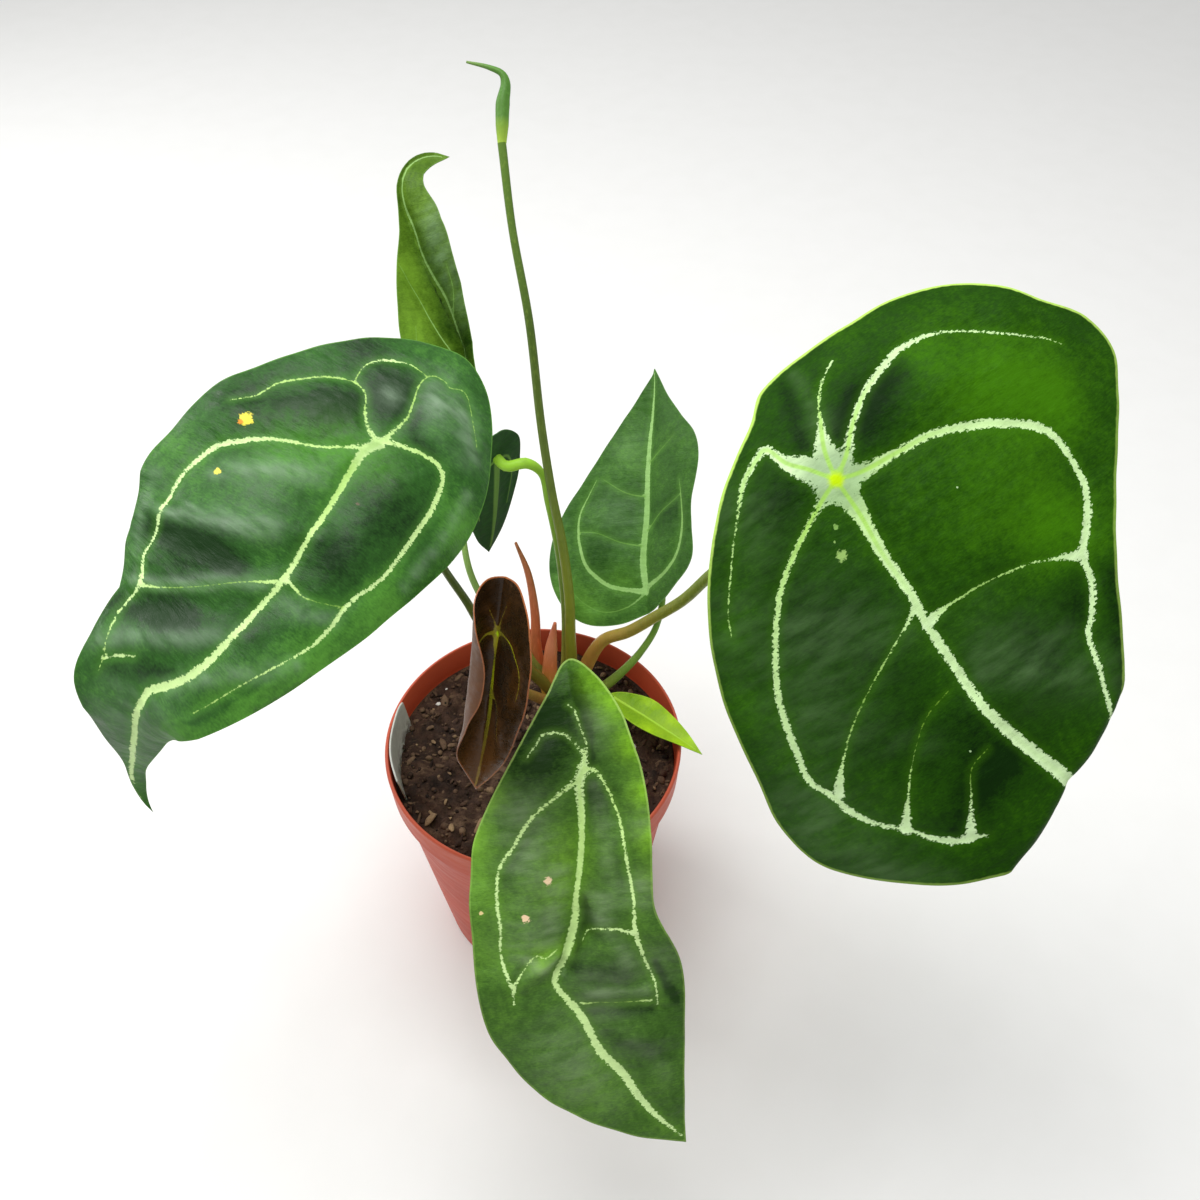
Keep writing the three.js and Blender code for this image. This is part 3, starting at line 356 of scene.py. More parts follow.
        "dark": (28, 64, 14), "middle": (58, 100, 36), "bright": (92, 142, 54), "gleam": (120, 150, 112),
        "glowing": (104, 160, 40), "silver": (150, 192, 116), "yellow": (112, 160, 66),
        "under": (100, 146, 72), "under_vein": (150, 190, 110), "edge": (120, 170, 90),
        "edge_amount": 0.3, "ragged": 0.25, "fade": 0.4, "specular": 0.15,
    },
    "leaf_upright": {
        "attach": (-22, 68, 225), "heading": 106, "dip": -48, "roll": 0, "slot": "leaf_pale",
        "spine": [(-45, 0, 0), (60, 0, 2), (86, -5, 0), (94, 0, -50), (101, 0, -84), (112, 6, -88)],
        "midrib": [(-20, 0), (0, -2), (29, -4), (43, 0), (55, 3), (69, 5), (83, 7), (92, 7), (99, 4),
                   (105, 2)],
        "section": [(-30, 45, -0.2, 84, -0.2), (20, 45, -0.2, 80, -0.2), (50, 45, -0.2, 62, -0.2),
                    (74, 45, -0.2, 60, -0.2), (92, 30, 0, 40, 0), (105, 10, 0, 10, 0)],
        "left": [(-20, 0), (-17, 9), (-8, 18), (6, 24), (20, 28), (36, 27), (46, 24.5), (57, 20.5),
                 (70, 14.5), (81, 10), (89, 9), (96, 7), (105, 2)],
        "right": [(-20, 0), (-17, -5), (-8, -9), (6, -11), (20, -12), (35, -13.5), (47, -14), (60, -14.5),
                  (70, -13.5), (79, -10), (87, -5), (96, -1), (105, 2)],
        "veins": [
            ([(0, -2), (29, -4), (38, -4), (47, -3), (55, 0), (64, 3), (73, 4), (83, 6), (95, 5), (103, 2)],
             [2, 1.6, 1.5, 1.4, 1.3, 1.2, 1, 0.9, 0.7, 0.3], [0.4, 0.3, 0.5], 1),
            ([(16, -3), (24, 2), (32, 7), (40, 10), (47, 12), (54, 15), (62, 18)],
             [1, 0.7, 0.6, 0.5, 0.3, 0.15], [0.4, 0.6, 0.9], 1),
            ([(0, -2), (-6, 8), (0, 17), (12, 22), (26, 22), (38, 19)], [1.2, 0.6, 0.5, 0.4, 0.2, 0.1],
             [0.6, 0.9], 2),
            ([(40, -4), (48, -9), (58, -10)], [0.8, 0.4, 0.15], [0.6, 0.9], 2),
        ],
        "hub": 1.2, "puff": 0.9, "puff_reach": 6, "furrow": 0.35, "wave": 0.5, "core": 0.1,
        "tone": [(40, 18, 8, 0.35), (60, 14, 8, 0.35), (20, 20, 9, 0.3), (30, -10, 8, -0.25),
                 (55, -10, 9, -0.1), (80, -4, 8, 0.15), (36, 4, 5, -0.25)],
        "glow": [(36, 22, 8, 0.35), (20, 22, 8, 0.3), (56, 16, 8, 0.2)],
        "bloom": [(60, -8, 9, 0.4), (44, -10, 8, 0.35), (76, -8, 8, 0.3)],
        "dark": (34, 66, 6), "middle": (76, 110, 24), "bright": (110, 150, 42), "gleam": (138, 168, 128),
        "glowing": (124, 176, 42), "silver": (168, 204, 128), "yellow": (130, 180, 84),
        "under": (104, 148, 60), "under_vein": (160, 196, 116), "edge": (150, 190, 100),
        "edge_amount": 0.4, "ragged": 0.25, "fade": 0.3, "specular": 0.14,
    },
    "leaf_small": {
        "attach": (-10, 39, 233.5), "heading": 90, "dip": 75, "roll": -45, "slot": "leaf",
        "spine": [(-45, 0, 8), (30, 0, 8), (64, 0, 20)],
        "section": [(0, 8, 0, 8, 0)],
        "left": [(-13, 0), (-10, 6), (-2, 12), (9, 14), (22, 14), (36, 10), (47, 6), (56, 0)],
        "right": [(-13, 0), (-10, -6), (-2, -12), (9, -14), (22, -14), (36, -10), (47, -6), (56, 0)],
        "veins": [
            ([(0, 0), (18, 0), (36, 0), (52, 0)], [2.4, 2, 1.5, 0.5], [0.4, 0.4], 1),
            ([(0, 0), (4, 6), (16, 9), (32, 7)], [1, 0.5, 0.3, 0.1], [0.8, 1], 2),
            ([(0, 0), (4, -6), (16, -9), (32, -7)], [1, 0.5, 0.3, 0.1], [0.8, 1], 2),
        ],
        "hub": 1.2, "puff": 0.4, "puff_reach": 5, "furrow": 0.3, "wave": 0.3, "core": 0.1,
        "dark": (26, 62, 24), "middle": (46, 90, 40), "bright": (70, 120, 54), "gleam": (110, 140, 110),
        "glowing": (90, 150, 44), "silver": (170, 204, 130), "yellow": (130, 180, 80),
        "under": (44, 78, 42), "under_vein": (128, 168, 84), "edge": (110, 150, 90),
        "edge_amount": 0.3, "ragged": 0.2, "fade": 0.3, "specular": 0.18,
    },
    "leaf_lime": {
        "attach": (34, 17, 122), "heading": -38, "dip": -2, "roll": 0, "slot": "leaf_lime",
        "spine": [(-10, 0, 0), (0, 0, 0), (40, 8, 0)],
        "section": [(-10, 18, -0.8, 18, -0.8), (40, 10, -0.5, 10, -0.5)],
        "left": [(-4, 0), (-3, 2), (2, 5), (12, 8), (22, 7), (33, 4), (43, 0)],
        "right": [(-4, 0), (-3, -2), (2, -5), (12, -7), (22, -6), (33, -3), (43, 0)],
        "veins": [
            ([(-3, 0), (12, 0), (26, 0), (41, 0)], [1.2, 0.9, 0.7, 0.2], [0.5, 0.5], 1),
        ],
        "hub": 0.0, "puff": 0.4, "puff_reach": 3, "furrow": 0.3, "wave": 0.2, "core": 0.0,
        "tone": [(10, 3, 8, -0.1), (30, 0, 8, 0.2)],
        "glow": [(12, 7, 4, 0.8), (24, 6, 4, 0.8), (36, 3, 4, 0.8), (20, -6, 4, 0.8), (34, -3, 4, 0.8)],
        "dark": (92, 138, 12), "middle": (126, 168, 20), "bright": (150, 186, 34), "gleam": (190, 220, 120),
        "glowing": (172, 216, 24), "silver": (170, 212, 70), "yellow": (160, 206, 50),
        "under": (130, 186, 36), "under_vein": (160, 205, 70), "edge": (190, 225, 60),
        "edge_amount": 0.5, "ragged": 0.1, "fade": 0.0, "specular": 0.18, "shine": 0.42,
    },
}
BLADES = {name: {**PLAIN_BLADE, **blade} for name, blade in BLADES.items()}

# Stalks, from the crown outward: points and a radius at each, in millimetres. blade names the blade
# that it carries, and two more points are then worked out: one hinge below the blade, and one at its
# underside. end is one last point past that, where the stalk runs on into the blade. colours run from the
# foot to the top.
STALKS = {
    "flower_stalk": {
        "points": [(13, 28, 112), (15, 30, 130), (15, 30, 147), (15, 30, 169), (12.8, 31, 199),
                   (9.8, 32, 222), (6.8, 34, 253), (3.8, 44, 288), (-1.2, 60, 312), (-4.1, 74.8, 333.1)],
        "radii": [2.6, 2.4, 2.2, 2, 1.8, 1.6, 1.5, 1.4, 1.3, 1.4],
        "colours": [(150, 150, 50), (136, 146, 44), (104, 124, 42), (78, 102, 38), (92, 124, 46)],
    },
    "leaf_left_stalk": {
        "blade": "leaf_left", "hinge": 14,
        "points": [(10, 26, 112), (3, 22, 128), (-5, 16, 148), (-15, 5, 177), (-20, -4, 205),
                   (-24, -17, 235), (-29, -26, 266)],
        "radii": [3, 2.6, 2.2, 1.8, 1.5, 1.3, 1.2, 1.3, 1.6],
        "colours": [(130, 116, 44), (100, 104, 36), (70, 86, 28), (70, 90, 30), (120, 150, 60)],
    },
    "leaf_right_stalk": {
        "blade": "leaf_right", "hinge": 14,
        "points": [(16, 28, 113), (21, 28, 130), (28, 23, 152), (38, 14, 168), (47, 6, 185), (56, -4, 205),
                   (64, -15, 230), (77, -30, 264)],
        "radii": [3.4, 3, 2.5, 2.3, 2.1, 2, 1.9, 1.8, 1.9, 2],
        "colours": [(200, 130, 70), (170, 136, 60), (124, 128, 44), (104, 124, 40), (96, 120, 44),
                    (130, 160, 60)],
    },
    "leaf_front_stalk": {
        "blade": "leaf_front", "hinge": 14,
        "points": [(13, 23, 112), (16, 8, 127), (18, -16, 148), (19, -42, 170)],
        "radii": [3, 2.6, 2, 1.8, 1.7, 1.8],
        "colours": [(170, 120, 60), (120, 116, 50), (100, 116, 50), (130, 160, 70)],
    },
    "leaf_young_stalk": {
        "blade": "leaf_young", "hinge": 10,
        "points": [(9, 22, 112), (2, 14, 127), (-3, -3, 154), (-4, -26, 196), (-3, -43, 232)],
        "radii": [2.6, 2.2, 1.6, 1.3, 1.2, 1.2, 1.2],
        "colours": [(180, 130, 70), (150, 130, 60), (150, 140, 60), (170, 170, 60)],
    },
    "leaf_back_stalk": {
        "blade": "leaf_back", "hinge": 9,
        "points": [(18, 26, 112), (27, 25, 119), (36, 26, 129), (44, 29, 139), (50, 34, 149)],
        "radii": [2.6, 2.3, 1.8, 1.5, 1.3, 1.3, 1.3],
        "colours": [(150, 140, 60), (120, 150, 60), (110, 150, 56), (120, 160, 60)],
    },
    "leaf_upright_stalk": {
        "blade": "leaf_upright", "hinge": 9,
        "points": [(9, 30, 112), (2, 29, 128), (-12, 31, 151), (-21, 35, 168), (-25, 40, 181),
                   (-27, 56, 199), (-26, 68, 211)],
        "end": (-22.4, 69.3, 226.5),
        "radii": [2.6, 2.2, 1.7, 1.4, 1.3, 1.2, 1.2, 1.3, 1.4, 1.1],
        "colours": [(150, 140, 60), (126, 156, 76), (130, 166, 86), (130, 166, 86)],
    },
    "leaf_small_stalk": {
        "blade": "leaf_small", "hinge": 5,
        "points": [(12, 32, 113), (13, 36, 135), (13, 36, 160), (11, 37, 190), (8, 37, 214), (6, 37, 228),
                   (1, 36, 233.5)],
        "radii": [2.3, 2, 1.7, 1.5, 1.4, 1.5, 2, 2, 1.9],
        "colours": [(150, 140, 60), (120, 140, 60), (120, 150, 60), (150, 200, 60), (160, 214, 60)],
    },
    "leaf_lime_stalk": {
        "points": [(17, 24, 113), (23, 22, 117), (28, 20, 120.5), (32.5, 17.8, 121.9)],
        "radii": [2.2, 1.8, 1.4, 1.0],
        "colours": [(160, 160, 60), (150, 190, 50)],
    },
}

# Sheaths, in the same way
SHEATHS = {
    "sheath_short": {
        "points": [(8, 26, 112), (6, 26, 126), (7, 28, 142), (9, 29, 156)],
        "radii": [4.2, 3.8, 3, 0.8],
        "colours": [(150, 170, 40), (200, 150, 60), (220, 126, 80), (222, 140, 104), (204, 112, 80)],
    },
    "sheath_long": {
        "points": [(5, 29, 113), (1, 31, 137), (1, 33, 158), (-1, 35, 179), (-5, 36, 194)],
        "radii": [3, 2.5, 2, 1.4, 0.6],
        "colours": [(190, 146, 56), (206, 116, 70), (206, 112, 74), (198, 116, 76), (174, 112, 68)],
    },
}

# The furled flower: a slim spathe whose tip is drawn out and hooked over
BUD = {
    "points": [(-4.1, 74.25, 332.4), (-4, 78, 337), (-3.8, 83, 342), (-2.9, 87.5, 346.5), (-3.9, 89, 348.7),
               (-8, 90, 350.3), (-15, 90.5, 351.8)],
    "radii": [1.4, 2.2, 2.4, 1.6, 1.1, 0.8, 0.4],
    "colours": [(170, 200, 70), (84, 128, 50), (76, 122, 46), (90, 136, 56), (120, 150, 80)],
}


def srgb(colour):
    """A colour of 0 to 255 as the linear RGBA that a shader takes."""
    parts = [value / 255 for value in colour]
    return (*(p / 12.92 if p <= 0.04045 else ((p + 0.055) / 1.055) ** 2.4 for p in parts), 1.0)


def colour_property(name, description, colour):
    """A colour of a piece, for its property group."""
    return FloatVectorProperty(name=name, description=description, subtype="COLOR", size=4, min=0, max=1,
                               default=srgb(colour))


def length_property(name, description, millimetres):
    """A length of a piece, for its property group."""
    return FloatProperty(name=name, description=description, default=millimetres * MM, min=0, precision=5,
                         subtype="DISTANCE", unit="LENGTH")


def read_row(rows, along, column):
    """Straight-line reading of one column of a table whose first column is the distance along."""
    table = np.array(rows, float)
    return np.interp(along, table[:, 0], table[:, column])


class BladeSurface:
    """The bent surface of a blade, from (along, across) in millimetres to places in space."""

    STEP = 2.0
    REACH = 200.0
    FLATTEST = 1e-6
    APART = 0.5

    def __init__(self, blade):
        self.blade = blade
        heading, dip, roll = (math.radians(blade[key]) for key in ("heading", "dip", "roll"))
        ahead = np.array([math.cos(dip) * math.cos(heading), math.cos(dip) * math.sin(heading),
                          -math.sin(dip)])
        level = np.array([-math.sin(heading), math.cos(heading), 0])
        left = math.cos(roll) * level + math.sin(roll) * np.cross(ahead, level)
        self.base = np.stack([ahead, left, np.cross(ahead, left)])
        self.attach = np.array(blade["attach"], float)
        steps = np.arange(self.STEP / 2, self.REACH, self.STEP)
        forward = np.cumsum(self.STEP * self.turn(steps)[0], axis=0)
        backward = np.cumsum(-self.STEP * self.turn(-steps)[0], axis=0)
        self.stations = np.arange(-self.REACH, self.REACH + 1, self.STEP)
        self.spine = np.concatenate([backward[::-1], np.zeros((1, 3)), forward])

    def turn(self, along):
        """The directions ahead, leftward and upward at each place along the axis."""
        droop = np.radians(read_row(self.blade["spine"], along, 1))
        swerve = np.radians(read_row(self.blade["spine"], along, 2))
        level = np.zeros_like(droop)
        ahead = np.stack([np.cos(swerve) * np.cos(droop), np.sin(swerve) * np.cos(droop), -np.sin(droop)], 1)
        leftward = np.stack([-np.sin(swerve), np.cos(swerve), level], 1)
        upward = np.stack([np.cos(swerve) * np.sin(droop), np.sin(swerve) * np.sin(droop), np.cos(droop)], 1)
        return ahead, leftward, upward

    def sheet(self, along, across):
        """Places on the blade before its tip is rolled under."""
        section = self.blade["section"]
        rib = read_row(self.blade["midrib"], along, 1)
        left = across >= rib
        fold = np.radians(np.where(left, read_row(section, along, 1), read_row(section, along, 3)))
        curl = np.radians(np.where(left, read_row(section, along, 2), read_row(section, along, 4)))
        curl = np.where(np.abs(curl) < self.FLATTEST, self.FLATTEST, curl)
        width = np.abs(across - rib)
        out = (np.sin(fold + curl * width) - np.sin(fold)) / curl
        up = (np.cos(fold) - np.cos(fold + curl * width)) / curl
        for s, t, reach, height in self.blade["dents"]:
            up = up + height * np.exp(-((along - s) ** 2 + (across - t) ** 2) / reach ** 2)
        leftward, upward = self.turn(along)[1:]
        sideways = rib + np.sign(across - rib) * out
        middle = np.stack([np.interp(along, self.stations, self.spine[:, axis]) for axis in range(3)], 1)
        local = middle + sideways[:, None] * leftward + up[:, None] * upward
        return self.attach + local @ self.base

    def point(self, along, across):
        """Places on the finished blade."""
        tuck = self.blade["tuck"]
        if not tuck:
            return self.sheet(along, across)
        cos, sin = math.cos(math.radians(tuck["slant"])), math.sin(math.radians(tuck["slant"]))
        past = np.maximum(0, (along - tuck["from"]) * cos + across * sin)
        turned = np.minimum(past / tuck["radius"], math.radians(tuck["angle"]))
        straight = past - turned * tuck["radius"]
        onward = tuck["radius"] * np.sin(turned) + straight * np.cos(turned)
        down = tuck["radius"] * (1 - np.cos(turned)) + straight * np.sin(turned)
        s, t = along + (onward - past) * cos, across + (onward - past) * sin
        return self.sheet(s, t) - down[:, None] * self.facing(self.sheet, s, t)

    def normal(self, along, across):
        """The directions that the finished blade's top faces."""
        return self.facing(self.point, along, across)

    def facing(self, place, along, across):
        """The directions that a surface faces, from places a little apart on each side."""
        reach = self.APART
        ahead = place(along + reach, across) - place(along - reach, across)
        leftward = place(along, across + reach) - place(along, across - reach)
        crossed = np.cross(ahead, leftward)
        return crossed / np.linalg.norm(crossed, axis=1, keepdims=True)


def smooth_path(points, spacing, centripetal=False):
    """Evenly spaced places along a smooth open curve through the points."""
    marks = np.array(points, float)
    marks = np.concatenate([[2 * marks[0] - marks[1]], marks, [2 * marks[-1] - marks[-2]]])
    shares = np.linspace(0, 1, 17)[:-1, None]
    pieces = []
    for a, b, c, d in zip(marks, marks[1:], marks[2:], marks[3:]):
        if centripetal:
            before, here, after = (math.sqrt(np.linalg.norm(q - p)) for p, q in ((a, b), (b, c), (c, d)))
            start = here * ((b - a) / before - (c - a) / (before + here) + (c - b) / here)
            end = here * ((c - b) / here - (d - b) / (here + after) + (d - c) / after)
        else:
            start, end = (c - a) / 2, (d - b) / 2
        pieces.append(b + start * shares + (3 * (c - b) - 2 * start - end) * shares ** 2
                      + (2 * (b - c) + start + end) * shares ** 3)
    dense = np.concatenate(pieces + [marks[-2:-1]])
    run = np.concatenate([[0], np.cumsum(np.linalg.norm(np.diff(dense, axis=0), axis=1))])
    stops = np.linspace(0, run[-1], max(2, round(run[-1] / spacing)) + 1)
    return np.stack([np.interp(stops, run, dense[:, axis]) for axis in range(dense.shape[1])], 1)


def path_distance(places, path):
    """How far each flat place is from a path, and the share of the path's length where it is nearest."""
    start, step = path[:-1], np.diff(path, axis=0)
    length = np.linalg.norm(step, axis=1)
    run = np.concatenate([[0], np.cumsum(length)])
    distance, share = np.empty(len(places)), np.empty(len(places))
    block = 4000
    for first in range(0, len(places), block):
        some = places[first:first + block, None]
        part = np.clip(((some - start) * step).sum(2) / np.maximum(length ** 2, 1e-12), 0, 1)
        away = np.linalg.norm(some - (start + part[..., None] * step), axis=2)
        nearest = away.argmin(1)
        rows = np.arange(len(nearest))
        distance[first:first + block] = away[rows, nearest]
        share[first:first + block] = (run[nearest] + part[rows, nearest] * length[nearest]) / run[-1]
    return distance, share


def spread(values, share):
    """Reads a list whose values are spread evenly from share 0 to share 1."""
    return np.interp(share, np.linspace(0, 1, len(values)), values)


def inside(places, outline):
    """Which flat places are inside a closed outline."""
    x, y = places[:, 0], places[:, 1]
    odd = np.zeros(len(places), bool)
    for (x0, y0), (x1, y1) in zip(outline, np.roll(outline, -1, axis=0)):
        crosses = (y0 > y) != (y1 > y)
        level = y1 - y0 if y1 != y0 else 1e-9
        odd ^= crosses & (x < x0 + (x1 - x0) * (y - y0) / level)
    return odd


def flat_blade(blade, pitch):
    """A blade's flat mesh: its places, its triangles and its outline, with an edge along each vein."""
    rim_gap, vein_gap, row_share = 0.6 * pitch, 0.55 * pitch, math.sqrt(0.75)
    outline = smooth_path(blade["left"][::-1] + blade["right"][1:], pitch)[:-1]
    closed = np.concatenate([outline, outline[:1]])
    lines = []
    for path, *_ in blade["veins"]:
        line = smooth_path(path, pitch)
        keep = inside(line, outline) & (path_distance(line, closed)[0] > rim_gap)
        lines.append(line[keep])
    low, high = outline.min(0), outline.max(0)
    rows = np.arange(low[1], high[1], pitch * row_share)
    columns = np.arange(low[0], high[0], pitch)
    lattice = np.concatenate([np.stack([columns + (i % 2) * pitch / 2, np.full(len(columns), row)], 1)
                              for i, row in enumerate(rows)])
    lattice = lattice[inside(lattice, outline)]
    clear = path_distance(lattice, closed)[0] > rim_gap
    for line in lines:
        if len(line) > 1:
            clear &= path_distance(lattice, line)[0] > vein_gap
    places = [outline, *lines, lattice[clear]]
    edges = []
    first = len(outline)
    for line in lines:
        edges += [(first + i, first + i + 1) for i in range(len(line) - 1)]
        first += len(line)
    rim, within_rim, same_place = [list(range(len(outline)))], 1, 1e-4
    result = delaunay_2d_cdt(np.concatenate(places).tolist(), edges, rim, within_rim, same_place, False)
    flat, triangles = np.array([tuple(v) for v in result[0]]), np.array(result[2])
    return flat, triangles[inside(flat[triangles].mean(1), outline)], closed


def waviness(places, seed):
    """Gentle uneven rises and falls over a flat blade, between about -1 and 1."""
    draw = np.random.default_rng(seed)
    total = np.zeros(len(places))
    for wavelength in (46, 33, 24, 17, 13):
        angle, phase = draw.uniform(0, 2 * math.pi, 2)
        ahead = places @ np.array([math.cos(angle), math.sin(angle)])
        total += np.sin(2 * math.pi * ahead / wavelength + phase) * (wavelength / 46) ** 0.7
    return total / 2.2


def painted(places, marks):
    """The sum of soft round marks of (along, across, reach, amount)."""
    total = np.zeros(len(places))
    for s, t, reach, amount in marks:
        total += amount * np.exp(-((places[:, 0] - s) ** 2 + (places[:, 1] - t) ** 2) / reach ** 2)
    return total


def stroked(places, marks):
    """The sum of soft strokes of (path, amount, reach)."""
    total = np.zeros(len(places))
    for path, amount, reach in marks:
        total += amount * np.exp(-(path_distance(places, smooth_path(path, 1.0))[0] / reach) ** 2)
    return total


def blade_fields(blade, places, closed):
    """What the blade's finish reads at each place, and how high it stands there."""
    hub = np.linalg.norm(places, axis=1)
    vein, tint = np.full(len(places), -50.0), np.zeros(len(places))
    centre, quilt = np.full(len(places), 50.0), np.ones(len(places))
    for path, widths, tints, rank in blade["veins"]:
        distance, share = path_distance(places, smooth_path(path, 1.0))
        edge = spread(widths, share) / 2 - distance
        tint = np.where(edge > vein, spread(tints, share), tint)
        vein = np.maximum(vein, edge)
        centre = np.minimum(centre, np.where(rank == 1, distance, distance + 0.5))
        depth = 1.0 if rank == 1 else 0.4
        quilt *= 1 - depth * np.exp(-(distance / blade["puff_reach"]) ** 2) * np.clip((1 - share) * 8, 0, 1)
    vein = np.maximum(vein, blade["hub"] - hub)
    rim = path_distance(places, closed)[0]
    rise = blade["puff"] * quilt * (1 - np.exp(-(rim / 9) ** 2))
    rise -= blade["furrow"] * np.exp(-(centre / 1.8) ** 2) * (1 - np.exp(-(rim / 5) ** 2))
    rise += stroked(places, blade["ridges"])
    rise += blade["wave"] * waviness(places, SEED + len(places)) * (0.4 + 0.6 * np.exp(-(rim / 14) ** 2))
    rise *= 1 - np.exp(-(hub / 3) ** 2)
    return {
        "vein": vein, "tint": tint, "centre": centre, "rim": rim, "hub": hub, "rise": rise,
        # tone: the blade's own dark and bright patches with painted shade and light among them, and painted
        # shade along each crease
        "tone": 0.5 + 1.15 * painted(places, blade["tone"]) + stroked(places, blade["crease_shade"]),
        # glow: partly the blade's own brighter green, partly painted light shining through the thin blade
        "glow": painted(places, blade["glow"]),
        # bloom: a painted sheen of light, in soft marks and in strokes along the ridges
        "bloom": painted(places, blade["bloom"]) + stroked(places, blade["painted_sheens"]),
    }


def clear_selection():
    """Leaves edit mode and selects nothing."""
    if bpy.context.mode != "OBJECT":
        bpy.ops.object.mode_set(mode="OBJECT")
    bpy.ops.object.select_all(action="DESELECT")


def pick(piece):
    """Makes a piece the only selected one, and the active one."""
    clear_selection()
    piece.select_set(True)
    bpy.context.view_layer.objects.active = piece


def edit(piece, *steps):
    """Runs mesh operators on all of a piece, each as a pair of the operator and its settings."""
    pick(piece)
    bpy.ops.object.mode_set(mode="EDIT")
    bpy.ops.mesh.select_all(action="SELECT")
    for operator, settings in steps:
        operator(**settings)
    bpy.ops.object.mode_set(mode="OBJECT")


def close_up(piece):
    """Merges doubled corners and turns every face outward."""
    edit(piece, (bpy.ops.mesh.remove_doubles, {"threshold": DOUBLED}),
         (bpy.ops.mesh.normals_make_consistent, {"inside": False}))


def apply_modifier(piece, kind, **settings):
    """Adds a modifier with its settings and applies it."""
    pick(piece)
    modifier = piece.modifiers.new(kind, kind)
    for key, value in settings.items():
        setattr(modifier, key, value)
    bpy.ops.object.modifier_apply(modifier=modifier.name)


def apply_place(piece):
    """Puts a piece's place into its mesh."""
    pick(piece)
    bpy.ops.object.transform_apply(location=True, rotation=True, scale=True)


def dress(piece, name, material, nodes, sharp):
    """Names a finished piece, gives it its material and ties it to the frame; sharp is in degrees."""
    apply_place(piece)
    bpy.ops.object.shade_smooth_by_angle(angle=math.radians(sharp))
    piece.name = name
    piece.data.name = name
    piece.data.materials.clear()
    piece.data.materials.append(material)
    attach(piece, BODY)
    if nodes:
        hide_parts(*nodes)
    return piece


def corners(piece):
    """A piece's corners as an array, in metres."""
    values = np.empty(len(piece.data.vertices) * 3, np.float32)
    piece.data.vertices.foreach_get("co", values)
    return values.reshape(-1, 3).astype(float)


def set_corners(piece, places):
    """Moves a piece's corners."""
    piece.data.vertices.foreach_set("co", np.asarray(places, np.float32).ravel())
    piece.data.update()


def add_values(mesh, name, values):
    """Stores one number for each corner of a mesh."""
    mesh.attributes.new(name, "FLOAT", "POINT").data.foreach_set("value", np.asarray(values, np.float32))


def new_piece(name, places, faces):
    """A piece from corners in metres and faces."""
    mesh = bpy.data.meshes.new(name)
    mesh.from_pydata([tuple(place) for place in places], [], [tuple(face) for face in faces])
    mesh.update()
    piece = bpy.data.objects.new(name, mesh)
    bpy.context.scene.collection.objects.link(piece)
    return piece


class Finish:
    """A material whose nodes are added one by one, each wired to what it is given."""

    def __init__(self, name):
        self.material = bpy.data.materials.new(name)
        self.material.use_nodes = True
        self.tree = self.material.node_tree
        self.tree.nodes.clear()

    def wire(self, value, socket):
        if isinstance(value, bpy.types.NodeSocket):
            self.tree.links.new(value, socket)
        else:
            socket.default_value = value

    def node(self, kind, inputs, **settings):
        made = self.tree.nodes.new(kind)
        for key, value in settings.items():
            setattr(made, key, value)
        for key, value in inputs.items():
            self.wire(value, made.inputs[key])
        return made

    def math(self, operation, a, b, clamp=False):
        return self.node("ShaderNodeMath", {0: a, 1: b}, operation=operation, use_clamp=clamp).outputs[0]

    def plus(self, a, b):
        return self.math("ADD", a, b)

    def minus(self, a, b):
        return self.math("SUBTRACT", a, b)

    def times(self, a, b, clamp=False):
        return self.math("MULTIPLY", a, b, clamp)

    def vector(self, operation, *inputs):
        made = self.node("ShaderNodeVectorMath", dict(enumerate(inputs)), operation=operation)
        return made.outputs["Value" if operation == "DISTANCE" else "Vector"]

    def stretched(self, place, shares):
        return self.vector("MULTIPLY", place, shares)

    def part(self, place, axis):
        return self.node("ShaderNodeSeparateXYZ", {0: place}).outputs[axis]

    def mix(self, a, b, factor):
        made = self.node("ShaderNodeMix", {}, data_type="RGBA")
        self.wire(factor, made.inputs[0])
        self.wire(a, made.inputs[6])
        self.wire(b, made.inputs[7])
        return made.outputs[2]

    def step(self, value, low, high, start=0.0, end=1.0):
        inputs = {"Value": value, "From Min": low, "From Max": high, "To Min": start, "To Max": end}
        return self.node("ShaderNodeMapRange", inputs, interpolation_type="SMOOTHSTEP").outputs[0]

    def noise(self, place, scale, detail=2.0, roughness=0.5):
        inputs = {"Vector": place, "Scale": scale, "Detail": detail, "Roughness": roughness}
        return self.node("ShaderNodeTexNoise", inputs).outputs[0]

    def cells(self, place, scale):
        made = self.node("ShaderNodeTexVoronoi", {"Vector": place, "Scale": scale}, feature="SMOOTH_F1")
        return made.outputs["Distance"]

    def attribute(self, name):
        return self.node("ShaderNodeAttribute", {}, attribute_name=name).outputs["Fac"]

    def coordinates(self, kind):
        return self.node("ShaderNodeTexCoord", {}).outputs[kind]

    def ramp(self, value, stops):
        made = self.node("ShaderNodeValToRGB", {0: value})
        elements = made.color_ramp.elements
        while len(elements) < len(stops):
            elements.new(0.5)
        for element, (position, colour) in zip(elements, stops):
            element.position = position
            element.color = colour
        return made.outputs[0]

    def bump(self, height, distance, below=None):
        inputs = {"Height": height, "Distance": distance, "Strength": 1.0}
        if below is not None:
            inputs["Normal"] = below
        return self.node("ShaderNodeBump", inputs).outputs[0]

    def finish(self, colour, roughness, normal, specular, **constants):
        inputs = {"Base Color": colour, "Roughness": roughness, "Normal": normal,
                  "Specular IOR Level": specular, **constants}
        shader = self.node("ShaderNodeBsdfPrincipled", inputs)
        self.node("ShaderNodeOutputMaterial", {"Surface": shader.outputs[0]})
        return self.material


